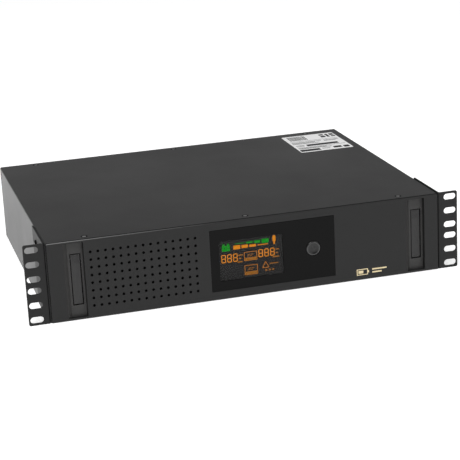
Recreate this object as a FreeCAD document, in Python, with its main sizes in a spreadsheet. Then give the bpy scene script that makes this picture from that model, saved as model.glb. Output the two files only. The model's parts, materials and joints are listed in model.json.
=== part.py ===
"""Rack-mount uninterruptible power supply, 2U high, for a 19-inch rack.

Axes: +X to the right of a person facing the front, +Y to the rear, +Z up. Millimetres.
The origin is the middle of the chassis's underside, which is the face it rests on.
"""
import FreeCAD, Part
import math
import os
import re

import Sketcher

# Driving dimensions. Every value is a cell of the sheet, and the parts are bound to the cells.
# rail is the plane of the ears' front faces; they bolt to the front of the rack's rails.
DIMENSIONS = {
    # chassis
    "chassis_width": 437.0, "chassis_height": 87.5, "chassis_depth": 338.0, "sheet": 1.2,
    "rail": -169.0, "cover_setback": 1.0, "flange_reach": 14.0,
    "side_flange": 10.0, "bulkhead_setback": 22.0, "lip_reach": 16.0, "cheek_front": 4.0, "cheek_back": 60.0,
    "air_left": -176.0, "air_pitch": 15.4, "air_width": 10.0, "air_low": 10.0, "air_rise": 25.0,
    "air_columns": 8.0, "air_rows": 3.0, "air_height": 19.0, "lead_hole": 6.0, "lead_hole_inset": 25.0,
    # rack ears
    "ear_span": 482.6, "ear_height": 88.1, "ear_sheet": 2.0, "ear_flange": 70.0, "ear_corner": 2.0,
    "ear_bend": 1.9,
    "slot_span": 465.1, "slot_length": 14.2, "slot_width": 7.0, "slot_rise": 44.05,
    "slot_outer": 38.1, "slot_middle": 22.225, "slot_inner": 6.35,
    # screws
    "screw_head": 3.7, "screw_shank": 1.9, "screw_length": 4.5, "screw_reach": 175.0,
    "screw_inset": 8.0, "screw_neck": 2.5, "socket": 1.5, "small_screw": 1.4, "small_head": 2.6,
    "small_head_height": 1.6, "small_screw_length": 5.0, "pan_height": 2.2, "pan_radius": 3.6,
    "screw_recess": 1.5,
    "ear_screw_front": 20.0, "ear_screw_rear": 46.0, "ear_screw_rise": 31.0,
    "side_screw_rear": 8.0, "side_screw_middle": 143.0, "side_screw_low": 6.5, "side_screw_high": 78.0,
    # bezel
    "bezel_width": 434.6, "bezel_height": 87.0, "bezel_rise": 0.4, "bezel_wall": 2.8,
    "bezel_proud": 2.0, "bezel_edge": 0.8, "skirt_width": 430.6, "skirt_low": 3.0, "skirt_high": 80.5,
    "skirt_wall": 2.2, "skirt_depth": 16.0,
    "vent_radius": 1.45, "vent_columns": 15.0, "vent_rows": 8.0, "vent_left": -171.7, "vent_low": 14.0,
    "vent_width": 112.7, "vent_height": 59.2,
    # display window and its parts
    "window_left": -43.3, "window_right": 96.4, "window_low": 9.9, "window_high": 78.8,
    "window_sheet": 1.5, "window_gap": 0.15,
    "lcd_left": -33.4, "lcd_right": 37.6, "lcd_low": 21.0, "lcd_high": 65.3, "lcd_frame": 3.2,
    "lcd_front": 1.4, "lcd_glass": 1.8, "board_front": 8.0, "board_sheet": 1.6,
    "board_left": -46.0, "board_right": 94.0, "board_low": 13.0, "board_high": 76.0,
    "post_inset": 4.0, "post_radius": 2.6,
    # power button
    "button_across": 71.8, "button_rise": 44.3, "button_radius": 8.0, "button_gap": 0.3,
    "button_proud": 0.7, "button_dish": 0.8, "button_rim": 1.1, "button_collar": 9.6,
    "button_collar_depth": 1.0, "button_stem": 2.0, "button_stem_length": 0.5, "button_seat": 0.1,
    "switch_side": 6.0, "switch_depth": 3.4, "switch_plunger": 1.7, "switch_plunger_depth": 1.0,
    "spring_outer": 6.2, "spring_inner": 5.2,
    # finger channels and their latches
    "channel_left": -189.3, "channel_right": 190.7, "channel_half": 10.6, "channel_slope": 4.6,
    "channel_wall": 0.6,
    "channel_depth": 4.5, "channel_low": 3.0, "channel_high": 84.8, "trough_wall": 2.2, "trough_end": 1.2,
    "latch_shift": 2.0, "latch_opening": 11.6, "latch_low": 15.5, "latch_high": 72.0,
    "latch_gap": 0.9, "latch_sheet": 3.0, "latch_sink": 0.6, "latch_lip": 3.0, "latch_lip_sheet": 1.2,
    "pivot_rise": 22.0, "pivot_setback": 9.0, "pivot_radius": 1.5, "pivot_bore": 1.56,
    "knuckle_radius": 3.2, "lug_wall": 2.4, "lug_gap": 0.4, "lug_half": 5.0, "lug_reach": 7.6,
    "hook_rise": 56.0, "hook_arm": 3.6, "hook_width": 6.0, "hook_behind": 1.0, "hook_tip": 2.6,
    "hook_catch": 1.4, "hook_slot_gap": 0.4, "hook_slot_drop": 3.0,
    "latch_coil": 2.6, "latch_coil_bore": 1.7, "latch_coil_length": 1.1,
    # dust filter
    "filter_left": -175.4, "filter_right": -54.0, "filter_low": 8.0, "filter_high": 77.5,
    "filter_depth": 5.0,
    # batteries
    "battery_length": 151.0, "battery_depth": 94.0, "battery_height": 65.0, "battery_left": -208.0,
    "battery_front": 34.0, "battery_pitch": 118.0, "battery_lid": 3.0, "battery_edge": 1.0,
    "terminal_width": 6.35, "terminal_sheet": 0.8, "terminal_length": 7.0, "terminal_inset": 16.0,
    "terminal_drop": 12.0, "boot_width": 8.0, "boot_length": 9.0, "boot_height": 10.0,
    "clamp_width": 24.0, "clamp_sheet": 1.5, "clamp_foot": 12.0, "clamp_hole": 7.2, "clamp_inset": 35.0,
    "pad_sheet": 3.0,
    "pad_inset": 8.0, "pad_width": 20.0,
    # transformer
    "core_left": 92.0, "core_front": 56.0, "core_length": 96.0, "core_depth": 46.0, "core_height": 78.0,
    "core_limb": 16.0, "coil_reach": 20.0, "coil_gap": 0.5, "bracket_foot": 12.0,
    "bracket_width": 30.0, "bracket_sheet": 2.0,
    # main board
    "main_left": -40.0, "main_right": 206.0, "main_front": 128.0, "main_back": 286.0,
    "main_rise": 7.2, "main_sheet": 1.6, "liner_sheet": 0.4,
    "sink_length": 92.0, "sink_height": 52.0, "sink_base": 4.0, "sink_fin": 1.6, "sink_reach": 20.0,
    "sink_fins": 9.0, "sink_across": 30.0, "sink_second": 112.0, "sink_front": 150.0,
    "chip_width": 15.6, "chip_height": 20.0, "chip_sheet": 4.6, "chip_pitch": 21.0, "chip_rise": 9.0,
    "chip_inset": 6.0, "chip_leg_inset": 2.2, "chip_leg_pitch": 5.2, "chip_count": 4.0,
    "chip_legs": 3.0,
    "capacitor_radius": 12.5, "capacitor_height": 45.0, "capacitor_across": 166.0,
    "capacitor_front": 158.0, "capacitor_pitch": 28.0, "capacitor_count": 4.0,
    "relay_length": 29.0, "relay_width": 12.7, "relay_height": 25.4, "relay_across": -30.0,
    "relay_front": 226.0, "relay_pitch": 17.0, "relay_count": 3.0,
    "choke_outer": 17.0, "choke_inner": 8.5, "choke_height": 16.0, "choke_across": -14.0,
    "choke_front": 186.0,
    "terminal_block_length": 40.0, "terminal_block_depth": 12.0, "terminal_block_height": 14.0,
    "fuse_length": 20.0, "fuse_radius": 2.6,
    "block_left": 130.0, "block_front": 268.0, "block_ways": 4.0, "fuse_left": 4.0, "fuse_front": 236.0,
    "fuse_pitch": 12.0, "fuse_clip": 3.0,
    # fan
    "fan_across": -166.0, "fan_rise": 41.5, "fan_side": 80.0, "fan_depth": 25.0, "fan_bore": 38.0,
    "fan_hub": 18.0, "fan_blade_reach": 36.6, "fan_blades": 7.0, "fan_wall": 3.0, "fan_hole": 35.75,
    "fan_strut": 4.0, "fan_motor": 15.0, "fan_setback": 1.5, "fan_hub_depth": 19.0, "fan_blade": 1.4,
    "fan_blade_inset": 1.0, "blade_root": 16.6, "blade_root_pitch": 4.5, "blade_tip_pitch": 6.0,
    "fan_struts": 4.0, "fan_screw_bore": 1.9, "fan_shaft": 1.5, "fan_shaft_bore": 1.56,
    "guard_step": 8.0, "guard_first": 9.0, "guard_slot": 4.6, "guard_spokes": 8.0,
    "guard_rings": 4.0,
    # rear panel fittings
    "inlet_across": 182.0, "inlet_rise": 26.0, "inlet_width": 30.0, "inlet_height": 23.0,
    "inlet_depth": 24.0, "inlet_flange_width": 50.0, "inlet_flange_height": 27.0,
    "inlet_flange_depth": 3.0, "inlet_screw": 20.0, "cavity_width": 24.6, "cavity_height": 16.6,
    "cavity_depth": 17.0,
    "pin_width": 2.0, "pin_height": 4.0, "pin_length": 15.0, "pin_pitch": 7.0, "pin_ground": 4.0,
    "outlet_left": 44.0, "outlet_pitch": 34.0, "outlet_low": 24.0, "outlet_high": 60.0,
    "outlet_width": 27.0, "outlet_height": 20.0, "outlet_depth": 22.0, "outlet_flange_width": 31.0,
    "outlet_flange_height": 25.0, "outlet_flange_depth": 2.2, "contact_width": 2.4,
    "contact_height": 4.6, "contact_depth": 15.0,
    "breaker_across": 162.0, "breaker_rise": 62.0, "breaker_radius": 8.0, "breaker_depth": 26.0,
    "breaker_nut": 11.0, "breaker_nut_depth": 3.0, "reset_radius": 4.5, "reset_gap": 0.3,
    "reset_length": 12.0, "reset_proud": 5.5, "reset_travel": 2.0,
    "earth_across": 204.0, "earth_rise": 58.0, "earth_nut": 4.5, "earth_nut_depth": 3.2,
    "earth_length": 14.0,
    "card_left": -108.0, "card_low": 10.0, "card_width": 120.0, "card_height": 38.0,
    "card_screw_inset": 6.0, "card_knob": 4.2, "card_knob_depth": 6.0,
    "port_low": 57.0, "usb_left": -112.0, "usb_width": 12.0, "usb_height": 11.0, "usb_depth": 16.0,
    "jack_left": -90.0, "jack_gap": 1.0, "jack_width": 16.0, "jack_height": 13.6, "jack_depth": 18.0,
    "jack_cavity_width": 11.8, "jack_cavity_height": 7.0, "jack_cavity_depth": 12.0, "jack_cavity_rise": 3.0,
    "tongue_width": 5.6, "tongue_height": 3.2,
    "port_board_width": 66.0, "port_board_depth": 40.0,
    # rating label
    "label_left": 140.0, "label_right": 208.0, "label_front": 238.0, "label_back": 322.0,
    "label_sheet": 0.15,
    # leads
    "lead_radius": 1.9, "lead_crest": 78.0, "lead_before_board": 8.0, "lead_onto_board": 10.0,
    "lead_first_shift": 1.0, "lead_last_shift": 9.0, "lead_dip": 18.0,
    # display cable, measured back from the display board and down from the button's height
    "cable_first": 46.0, "cable_second": 90.0, "cable_end": 132.0, "cable_shift": 6.0,
    "cable_end_shift": 14.0, "cable_drop": 12.0, "cable_end_drop": 14.0,
}

os.makedirs("parts", exist_ok=True)
doc = FreeCAD.newDocument("rack_ups")
sheet = doc.addObject("Spreadsheet::Sheet", "Dims")
for row, (word, value) in enumerate(DIMENSIONS.items(), start=1):
    sheet.set(f"A{row}", word)
    sheet.set(f"B{row}", str(value))
    sheet.setAlias(f"B{row}", word)
doc.recompute()

sub_parts = []


# ---- helpers: everything takes expressions in the sheet's words ----

def bound(text):
    """Return an expression in which each of the sheet's words names its cell."""
    return re.sub(r"[a-z_]+[a-z_0-9]*", lambda word: cell_name(word.group(0)), str(text))


def cell_name(word):
    return f"Dims.{word}" if word in DIMENSIONS else word


def number(text):
    """Return an expression's value."""
    return float(sheet.evalExpression(bound(text)))


def how_many(word):
    """Return how many of a repeated feature there are."""
    return int(number(word))


def name_part(item, label):
    """Mark an object as a sub-part: its label names its file."""
    item.Label = label
    sub_parts.append(item)
    return item


def bind(item, sizes):
    for prop, text in sizes.items():
        item.setExpression(prop, bound(text))


def put(item, place):
    """Bind an object's position."""
    for axis, text in zip("xyz", place):
        item.setExpression(f".Placement.Base.{axis}", bound(text))
    return item


def box(low, size):
    """A block from its low corner and its three sizes."""
    item = doc.addObject("Part::Box", "Block")
    bind(item, dict(zip(("Length", "Width", "Height"), size)))
    return put(item, low)


TURNS = {
    "z": FreeCAD.Rotation(),
    "x": FreeCAD.Rotation(FreeCAD.Vector(0, 1, 0), 90),
    "y": FreeCAD.Rotation(FreeCAD.Vector(1, 0, 0), -90),
}


def rod(centre, radius, length, along="z"):
    """A cylinder that starts at centre and runs along an axis."""
    item = doc.addObject("Part::Cylinder", "Rod")
    item.Placement.Rotation = TURNS[along]
    bind(item, {"Radius": radius, "Height": length})
    return put(item, centre)


def cone(centre, start, end, length, along="z"):
    item = doc.addObject("Part::Cone", "Taper")
    item.Placement.Rotation = TURNS[along]
    bind(item, {"Radius1": start, "Radius2": end, "Height": length})
    return put(item, centre)


def prism(centre, sides, radius, length, along="z"):
    """A regular prism, such as a nut, of a given corner radius."""
    item = doc.addObject("Part::Prism", "Prism")
    item.Placement.Rotation = TURNS[along]
    item.Polygon = sides
    bind(item, {"Circumradius": radius, "Height": length})
    return put(item, centre)


def join(*items):
    item = doc.addObject("Part::MultiFuse", "Joined")
    item.Shapes = list(items)
    item.Refine = True
    return item


def group(*items):
    """Separate solids that share one node, such as a set of screws."""
    item = doc.addObject("Part::Compound", "Group")
    item.Links = list(items)
    return item


def cut(base, *tools):
    item = doc.addObject("Part::Cut", "Cut")
    item.Base = base
    item.Tool = tools[0] if len(tools) == 1 else group(*tools)
    item.Refine = True
    return item


def tube(centre, outer, inner, length, along="z"):
    return cut(rod(centre, outer, length, along), rod(centre, inner, length, along))


def mirror(item):
    """The same piece on the other side of the object's middle."""
    copy = doc.addObject("Part::Mirroring", "Mirrored")
    copy.Source = item
    copy.Normal = (1, 0, 0)
    return copy


# ---- helpers for PartDesign bodies ----

def body(label):
    return name_part(doc.addObject("PartDesign::Body", "Body"), label)


def origin_item(owner, role):
    return next(item for item in owner.Origin.OriginFeatures if item.Role == role)


def sketch_on(owner, role, distance="0"):
    """A sketch on one of the body's own planes, moved along the plane's normal."""
    item = owner.newObject("Sketcher::SketchObject", "Sketch")
    item.AttachmentSupport = [(origin_item(owner, role), "")]
    item.MapMode = "FlatFace"
    item.setExpression("AttachmentOffset.Base.z", bound(distance))
    return item


def fix(sketch, kind, *terms, size):
    """Add a dimension to a sketch and bind it to the sheet."""
    index = sketch.addConstraint(Sketcher.Constraint(kind, *terms, number(size)))
    sketch.setExpression(f"Constraints[{index}]", bound(size))


def draw_rectangle(sketch, left, low, right, high):
    """A rectangle whose four sides are bound to the sheet."""
    x0, y0, x1, y1 = (number(text) for text in (left, low, right, high))
    corners = [FreeCAD.Vector(*point) for point in ((x0, y0), (x1, y0), (x1, y1), (x0, y1))]
    first = sketch.GeometryCount
    for index in range(4):
        sketch.addGeometry(Part.LineSegment(corners[index], corners[(index + 1) % 4]), False)
    for index in range(4):
        following = first + (index + 1) % 4
        sketch.addConstraint(Sketcher.Constraint("Coincident", first + index, 2, following, 1))
        level = "Horizontal" if index % 2 == 0 else "Vertical"
        sketch.addConstraint(Sketcher.Constraint(level, first + index))
    fix(sketch, "DistanceX", -1, 1, first, 1, size=left)
    fix(sketch, "DistanceY", -1, 1, first, 1, size=low)
    fix(sketch, "DistanceX", -1, 1, first + 2, 1, size=right)
    fix(sketch, "DistanceY", -1, 1, first + 2, 1, size=high)


def draw_circle(sketch, across, rise, radius):
    centre = FreeCAD.Vector(number(across), number(rise))
    index = sketch.addGeometry(Part.Circle(centre, FreeCAD.Vector(0, 0, 1), number(radius)), False)
    fix(sketch, "DistanceX", -1, 1, index, 3, size=across)
    fix(sketch, "DistanceY", -1, 1, index, 3, size=rise)
    fix(sketch, "Radius", index, size=radius)


def draw_slot(sketch, across, rise):
    """One of the ears' level slots, with round ends."""
    middle, level = number(across), number(rise)
    radius = number("slot_width / 2")
    reach = number("slot_length / 2") - radius
    up = FreeCAD.Vector(0, 0, 1)
    quarter = math.pi / 2
    left = Part.Circle(FreeCAD.Vector(middle - reach, level), up, radius)
    right = Part.Circle(FreeCAD.Vector(middle + reach, level), up, radius)
    low = [FreeCAD.Vector(middle + side * reach, level - radius) for side in (-1, 1)]
    high = [FreeCAD.Vector(middle + side * reach, level + radius) for side in (1, -1)]
    first = sketch.GeometryCount
    sketch.addGeometry(Part.ArcOfCircle(left, quarter, 3 * quarter), False)
    sketch.addGeometry(Part.LineSegment(*low), False)
    sketch.addGeometry(Part.ArcOfCircle(right, -quarter, quarter), False)
    sketch.addGeometry(Part.LineSegment(*high), False)
    for index in range(4):
        following = first + (index + 1) % 4
        sketch.addConstraint(Sketcher.Constraint("Tangent", first + index, 2, following, 1))
    sketch.addConstraint(Sketcher.Constraint("Equal", first, first + 2))
    fix(sketch, "Radius", first, size="slot_width / 2")
    for arc, side in ((first, -1), (first + 2, 1)):
        fix(sketch, "DistanceX", -1, 1, arc, 3, size=f"{across} + {side} * (slot_length - slot_width) / 2")
        fix(sketch, "DistanceY", -1, 1, arc, 3, size=rise)


def draw_outline(sketch, points):
    """A closed outline of straight sides; every corner is bound to the sheet."""
    corners = [FreeCAD.Vector(number(across), number(rise)) for across, rise in points]
    first = sketch.GeometryCount
    count = len(points)
    for index in range(count):
        sketch.addGeometry(Part.LineSegment(corners[index], corners[(index + 1) % count]), False)
    for index, (across, rise) in enumerate(points):
        following = first + (index + 1) % count
        sketch.addConstraint(Sketcher.Constraint("Coincident", first + index, 2, following, 1))
        fix(sketch, "DistanceX", -1, 1, first + index, 1, size=across)
        fix(sketch, "DistanceY", -1, 1, first + index, 1, size=rise)


def feature(owner, kind, profile, length, backwards):
    """Pad or pocket a sketch, and check that it adds or takes material."""
    doc.recompute()
    before = owner.Shape.Volume if owner.Tip else 0.0
    item = owner.newObject(f"PartDesign::{kind}", kind)
    item.Profile = profile
    item.Reversed = backwards
    bind(item, {"Length": length})
    owner.Tip = item
    doc.recompute()
    change = owner.Shape.Volume - before
    if (change > 0) != (kind == "Pad") or change == 0:
        raise ValueError(f"{owner.Label}: {kind} changed the volume by {change}")
    return item


def pad(owner, profile, length, backwards=False):
    return feature(owner, "Pad", profile, length, backwards)


def pocket(owner, profile, length, backwards=False):
    return feature(owner, "Pocket", profile, length, backwards)


def edges_where(shape, test):
    """The names of the edges whose middle and ends pass a test."""
    return [f"Edge{index}" for index, edge in enumerate(shape.Edges, start=1) if test(edge)]


def dress(owner, kind, base, names, size_name, size):
    """A fillet or a chamfer on a body's own edges."""
    item = owner.newObject(f"PartDesign::{kind}", kind)
    item.Base = (base, names)
    bind(item, {size_name: size})
    owner.Tip = item
    doc.recompute()
    return item


# ---- shared places, as expressions ----

HALF = "(chassis_width / 2)"
INNER = "(chassis_width / 2 - sheet)"
FRONT = "(rail + cover_setback)"
BACK = "(rail + chassis_depth)"
WALL = "(rail + chassis_depth - sheet)"
CEILING = "(chassis_height - sheet)"
FLOOR = "sheet"
SIGNS = (-1, 1)


# ---- chassis ----

def slot_rings(across, rise):
    """The fan grille's cut: rings of slots, parted by straight spokes."""
    rings = []
    for step in range(how_many("guard_rings")):
        inner = f"(guard_first + {step} * guard_step)"
        start = (across, f"{WALL} - sheet", rise)
        rings.append(tube(start, f"{inner} + guard_slot", inner, "3 * sheet", "y"))
    spokes = []
    spoke_count = how_many("guard_spokes")
    for step in range(spoke_count):
        spoke = box((across, f"{WALL} - 2 * sheet", rise), ("fan_side", "5 * sheet", "fan_strut"))
        spoke.Placement.Rotation = FreeCAD.Rotation(FreeCAD.Vector(0, 1, 0), 360 * step / spoke_count)
        spokes.append(spoke)
    return cut(group(*rings), join(*spokes))


def wall_hole(across, rise, width, height):
    """A rectangular cut through the rear wall, about its middle."""
    low = (f"{across} - ({width}) / 2", f"{WALL} - sheet", f"{rise} - ({height}) / 2")
    return box(low, (width, "3 * sheet", height))


def wall_bore(across, rise, radius):
    return rod((across, f"{WALL} - sheet", rise), radius, "3 * sheet", "y")


def outlet_places():
    """The middles of the six outlets, in two rows of three."""
    for rise in ("outlet_low", "outlet_high"):
        for column in range(3):
            yield f"(outlet_left + {column} * outlet_pitch)", rise


def jack_places():
    for column in range(2):
        yield f"(jack_left + {column} * (jack_width + jack_gap))"


def fan_corners():
    for across in SIGNS:
        for rise in SIGNS:
            yield f"(fan_across + {across} * fan_hole)", f"(fan_rise + {rise} * fan_hole)"


def card_screw_places():
    for side in ("card_left - card_screw_inset", "card_left + card_width + card_screw_inset"):
        yield f"({side})", "(card_low + card_height / 2)"


def side_screw_places():
    """Distances behind the middle, and heights, of the screws in each side."""
    yield f"({BACK} - side_screw_rear)", "side_screw_high"
    yield f"({BACK} - side_screw_rear)", "side_screw_low"
    yield f"({BACK} - side_screw_middle)", "side_screw_low"


def ear_screw_places():
    for behind in ("ear_screw_front", "ear_screw_rear"):
        for sign in SIGNS:
            yield f"(rail + {behind})", f"(slot_rise + {sign} * ear_screw_rise)"


def top_screw_places():
    for behind in (f"({FRONT} + screw_inset)", f"({BACK} - screw_inset)"):
        for column in (-1, 0, 1):
            yield f"({column} * screw_reach)", behind


def make_base_tray():
    """Bottom, low sides and the rear wall, folded from one sheet."""
    width = f"(2 * {INNER})"
    pieces = [
        box((f"-{INNER}", FRONT, "0"), (width, "chassis_depth - cover_setback", "sheet")),
        box((f"-{INNER}", WALL, "0"), (width, "sheet", CEILING)),
        box((f"-{INNER} + sheet", f"{BACK} - flange_reach", f"{CEILING} - sheet"),
            (f"{width} - 2 * sheet", "flange_reach", "sheet")),
    ]
    for left in (f"-{INNER}", f"{INNER} - sheet"):
        pieces.append(box((left, FRONT, "0"), ("sheet", "chassis_depth - cover_setback", "side_flange")))
        pieces.append(box((left, f"{BACK} - flange_reach", "0"), ("sheet", "flange_reach", CEILING)))
    cuts = [
        slot_rings("fan_across", "fan_rise"),
        wall_hole("inlet_across", "inlet_rise", "inlet_width", "inlet_height"),
        wall_bore("breaker_across", "breaker_rise", "breaker_radius"),
        wall_bore("earth_across", "earth_rise", "screw_shank"),
        wall_hole("(card_left + card_width / 2)", "(card_low + card_height / 2)",
                  "card_width - 4 * card_screw_inset", "card_height - 4 * sheet"),
        wall_hole("(usb_left + usb_width / 2)", "(port_low + usb_height / 2)", "usb_width", "usb_height"),
    ]
    jack_hole = ("jack_left", f"{WALL} - sheet", "port_low")
    cuts.append(box(jack_hole, ("2 * jack_width + jack_gap", "3 * sheet", "jack_height")))
    for across, rise in outlet_places():
        cuts.append(wall_hole(across, rise, "outlet_width", "outlet_height"))
    for across, rise in list(fan_corners()) + list(card_screw_places()):
        cuts.append(wall_bore(across, rise, "screw_shank"))
    for sign in SIGNS:
        across = f"(inlet_across + {sign} * inlet_screw)"
        cuts.append(wall_bore(across, "inlet_rise", "small_screw"))
    for across, behind in top_screw_places():
        cuts.append(rod((across, behind, f"{CEILING} - 2 * sheet"), "screw_shank", "2 * sheet"))
    for behind, rise in side_screw_places():
        cuts.append(rod((f"-{HALF}", behind, rise), "screw_shank", f"2 * {HALF}", "x"))
    name_part(cut(join(*pieces), *cuts), "base_tray")


def make_front_bulkhead():
    """The inner front wall, with lips at top and bottom and cheeks at its ends."""
    wall = "(rail + bulkhead_setback)"
    width = f"(2 * ({INNER} - sheet))"
    left = f"(-{INNER} + sheet)"
    pieces = [
        box((left, wall, FLOOR), (width, "sheet", f"{CEILING} - sheet")),
        box((left, f"{wall} - lip_reach", f"{CEILING} - sheet"), (width, "lip_reach", "sheet")),
        box((left, f"{wall} - lip_reach", FLOOR), (width, "lip_reach", "sheet")),
    ]
    for cheek in (f"-{INNER}", f"{INNER} - sheet"):
        low = (cheek, "rail + cheek_front", "side_flange")
        pieces.append(box(low, ("sheet", "cheek_back - cheek_front", f"{CEILING} - side_flange")))
    cuts = []
    for column in range(how_many("air_columns")):
        for row in range(how_many("air_rows")):
            low = (f"air_left + {column} * air_pitch", f"{wall} - sheet", f"air_low + {row} * air_rise")
            cuts.append(box(low, ("air_width", "3 * sheet", "air_height")))
    for channel in ("channel_left", "channel_right"):
        low = (f"{channel} + latch_shift - hook_width / 2 - lug_gap", f"{wall} - sheet",
               "hook_rise - hook_slot_drop")
        height = "hook_slot_drop + hook_arm + hook_slot_gap"
        cuts.append(box(low, ("hook_width + 2 * lug_gap", "3 * sheet", height)))
    cuts.append(rod(("board_left + lead_hole_inset", f"{wall} - sheet", "button_rise"), "lead_hole",
                    "3 * sheet", "y"))
    for across, behind in top_screw_places():
        cuts.append(rod((across, behind, f"{CEILING} - 2 * sheet"), "screw_shank", "2 * sheet"))
    for behind, rise in ear_screw_places():
        cuts.append(rod((f"-{HALF}", behind, rise), "screw_shank", f"2 * {HALF}", "x"))
    name_part(cut(join(*pieces), *cuts), "front_bulkhead")


def make_top_cover():
    """The top and both sides, folded from one sheet over the base tray."""
    depth = "(chassis_depth - cover_setback)"
    pieces = [
        box((f"-{HALF}", FRONT, CEILING), ("chassis_width", depth, "sheet")),
        box((f"-{HALF}", FRONT, "0"), ("sheet", depth, "chassis_height")),
        box((INNER, FRONT, "0"), ("sheet", depth, "chassis_height")),
    ]
    cuts = []
    for across, behind in top_screw_places():
        cuts.append(cone((across, behind, CEILING), "screw_neck", "screw_head", "sheet"))
    for behind, rise in side_screw_places():
        cuts.append(cone((f"-{HALF}", behind, rise), "screw_head", "screw_neck", "sheet", "x"))
        cuts.append(cone((INNER, behind, rise), "screw_neck", "screw_head", "sheet", "x"))
    for behind, rise in ear_screw_places():
        cuts.append(rod((f"-{HALF}", behind, rise), "screw_shank", f"2 * {HALF}", "x"))
    name_part(cut(join(*pieces), *cuts), "top_cover")


def make_cover_screws():
    """Six countersunk screws along the cover's front and rear edges."""
    screws = []
    for across, behind in top_screw_places():
        head = cone((across, behind, CEILING), "screw_neck", "screw_head", "sheet")
        shank = rod((across, behind, f"{CEILING} - screw_length"), "screw_shank", "screw_length")
        recess = prism((across, behind, "chassis_height - screw_recess"), 6, "socket", "screw_recess")
        screws.append(cut(join(head, shank), recess))
    name_part(group(*screws), "cover_screws")


def make_side_screws():
    """Three countersunk screws in each side of the cover."""
    screws = []
    for behind, rise in side_screw_places():
        head = cone((f"-{HALF}", behind, rise), "screw_head", "screw_neck", "sheet", "x")
        shank = rod((f"-{INNER}", behind, rise), "screw_shank", "screw_length", "x")
        recess = prism((f"-{HALF}", behind, rise), 6, "socket", "screw_recess", "x")
        screws.append(cut(join(head, shank), recess))
    screws += [mirror(screw) for screw in list(screws)]
    name_part(group(*screws), "side_screws")


def make_rack_ear(label, sign):
    """An angle: a slotted plate outside the rack's rail and a flange along the chassis."""
    ear = body(label)
    near, far = f"{sign} * {HALF}", f"{sign} * (ear_span / 2)"
    plate = sketch_on(ear, "XZ_Plane", "-rail")
    draw_rectangle(plate, near, "0", far, "ear_height")
    for distance in ("slot_outer", "slot_middle", "slot_inner"):
        for level in SIGNS:
            draw_slot(plate, f"{sign} * slot_span / 2", f"slot_rise + {level} * {distance}")
    pad(ear, plate, "ear_sheet", backwards=True)
    flange = sketch_on(ear, "XZ_Plane", "-rail")
    draw_rectangle(flange, near, "0", f"{sign} * ({HALF} + ear_sheet)", "ear_height")
    pad(ear, flange, "ear_flange", backwards=True)
    holes = sketch_on(ear, "YZ_Plane", f"{sign} * ({HALF} + ear_sheet)")
    for behind, rise in ear_screw_places():
        draw_circle(holes, behind, rise, "screw_shank")
    pocket(ear, holes, "ear_sheet", backwards=sign < 0)
    span, height = number("ear_span") / 2, number("ear_height")
    corners = edges_where(ear.Shape, lambda edge: is_corner(edge, span, (0, height)))
    dress(ear, "Fillet", ear.Tip, corners, "Radius", "ear_corner")
    bend = edges_where(ear.Shape, lambda edge: is_bend(edge, number(HALF), number("rail")))
    dress(ear, "Fillet", ear.Tip, bend, "Radius", "ear_bend")


def is_corner(edge, across, rises):
    """Tell whether an edge runs front to back at the ear's outer corners."""
    first, last = edge.Vertexes[0].Point, edge.Vertexes[-1].Point
    level = any(abs(first.z - rise) < 0.01 for rise in rises)
    return level and abs(abs(first.x) - across) < 0.01 and abs(first.y - last.y) > 0.01


def is_bend(edge, across, front):
    """Tell whether an edge is the upright one at the outside of the bend."""
    first, last = edge.Vertexes[0].Point, edge.Vertexes[-1].Point
    placed = abs(abs(first.x) - across) < 0.01 and abs(first.y - front) < 0.01
    return placed and abs(first.x - last.x) < 0.01 and abs(first.z - last.z) > 1


def make_ear_screws():
    """Four pan-head screws through each ear's flange."""
    screws = []
    for behind, rise in ear_screw_places():
        outside = f"(-{HALF} - ear_sheet)"
        head = rod((f"{outside} - pan_height", behind, rise), "pan_radius", "pan_height", "x")
        shank = rod((outside, behind, rise), "screw_shank", "screw_length", "x")
        recess = prism((f"{outside} - pan_height", behind, rise), 6, "socket", "screw_recess", "x")
        screws.append(cut(join(head, shank), recess))
    screws += [mirror(screw) for screw in list(screws)]
    name_part(group(*screws), "ear_screws")


# ---- bezel and its latches ----

PLATE_FRONT = "(rail - bezel_proud)"
PLATE_BACK = "(rail - bezel_proud + bezel_wall)"
TROUGH_BACK = "(rail - bezel_proud + channel_depth + trough_wall)"


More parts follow.
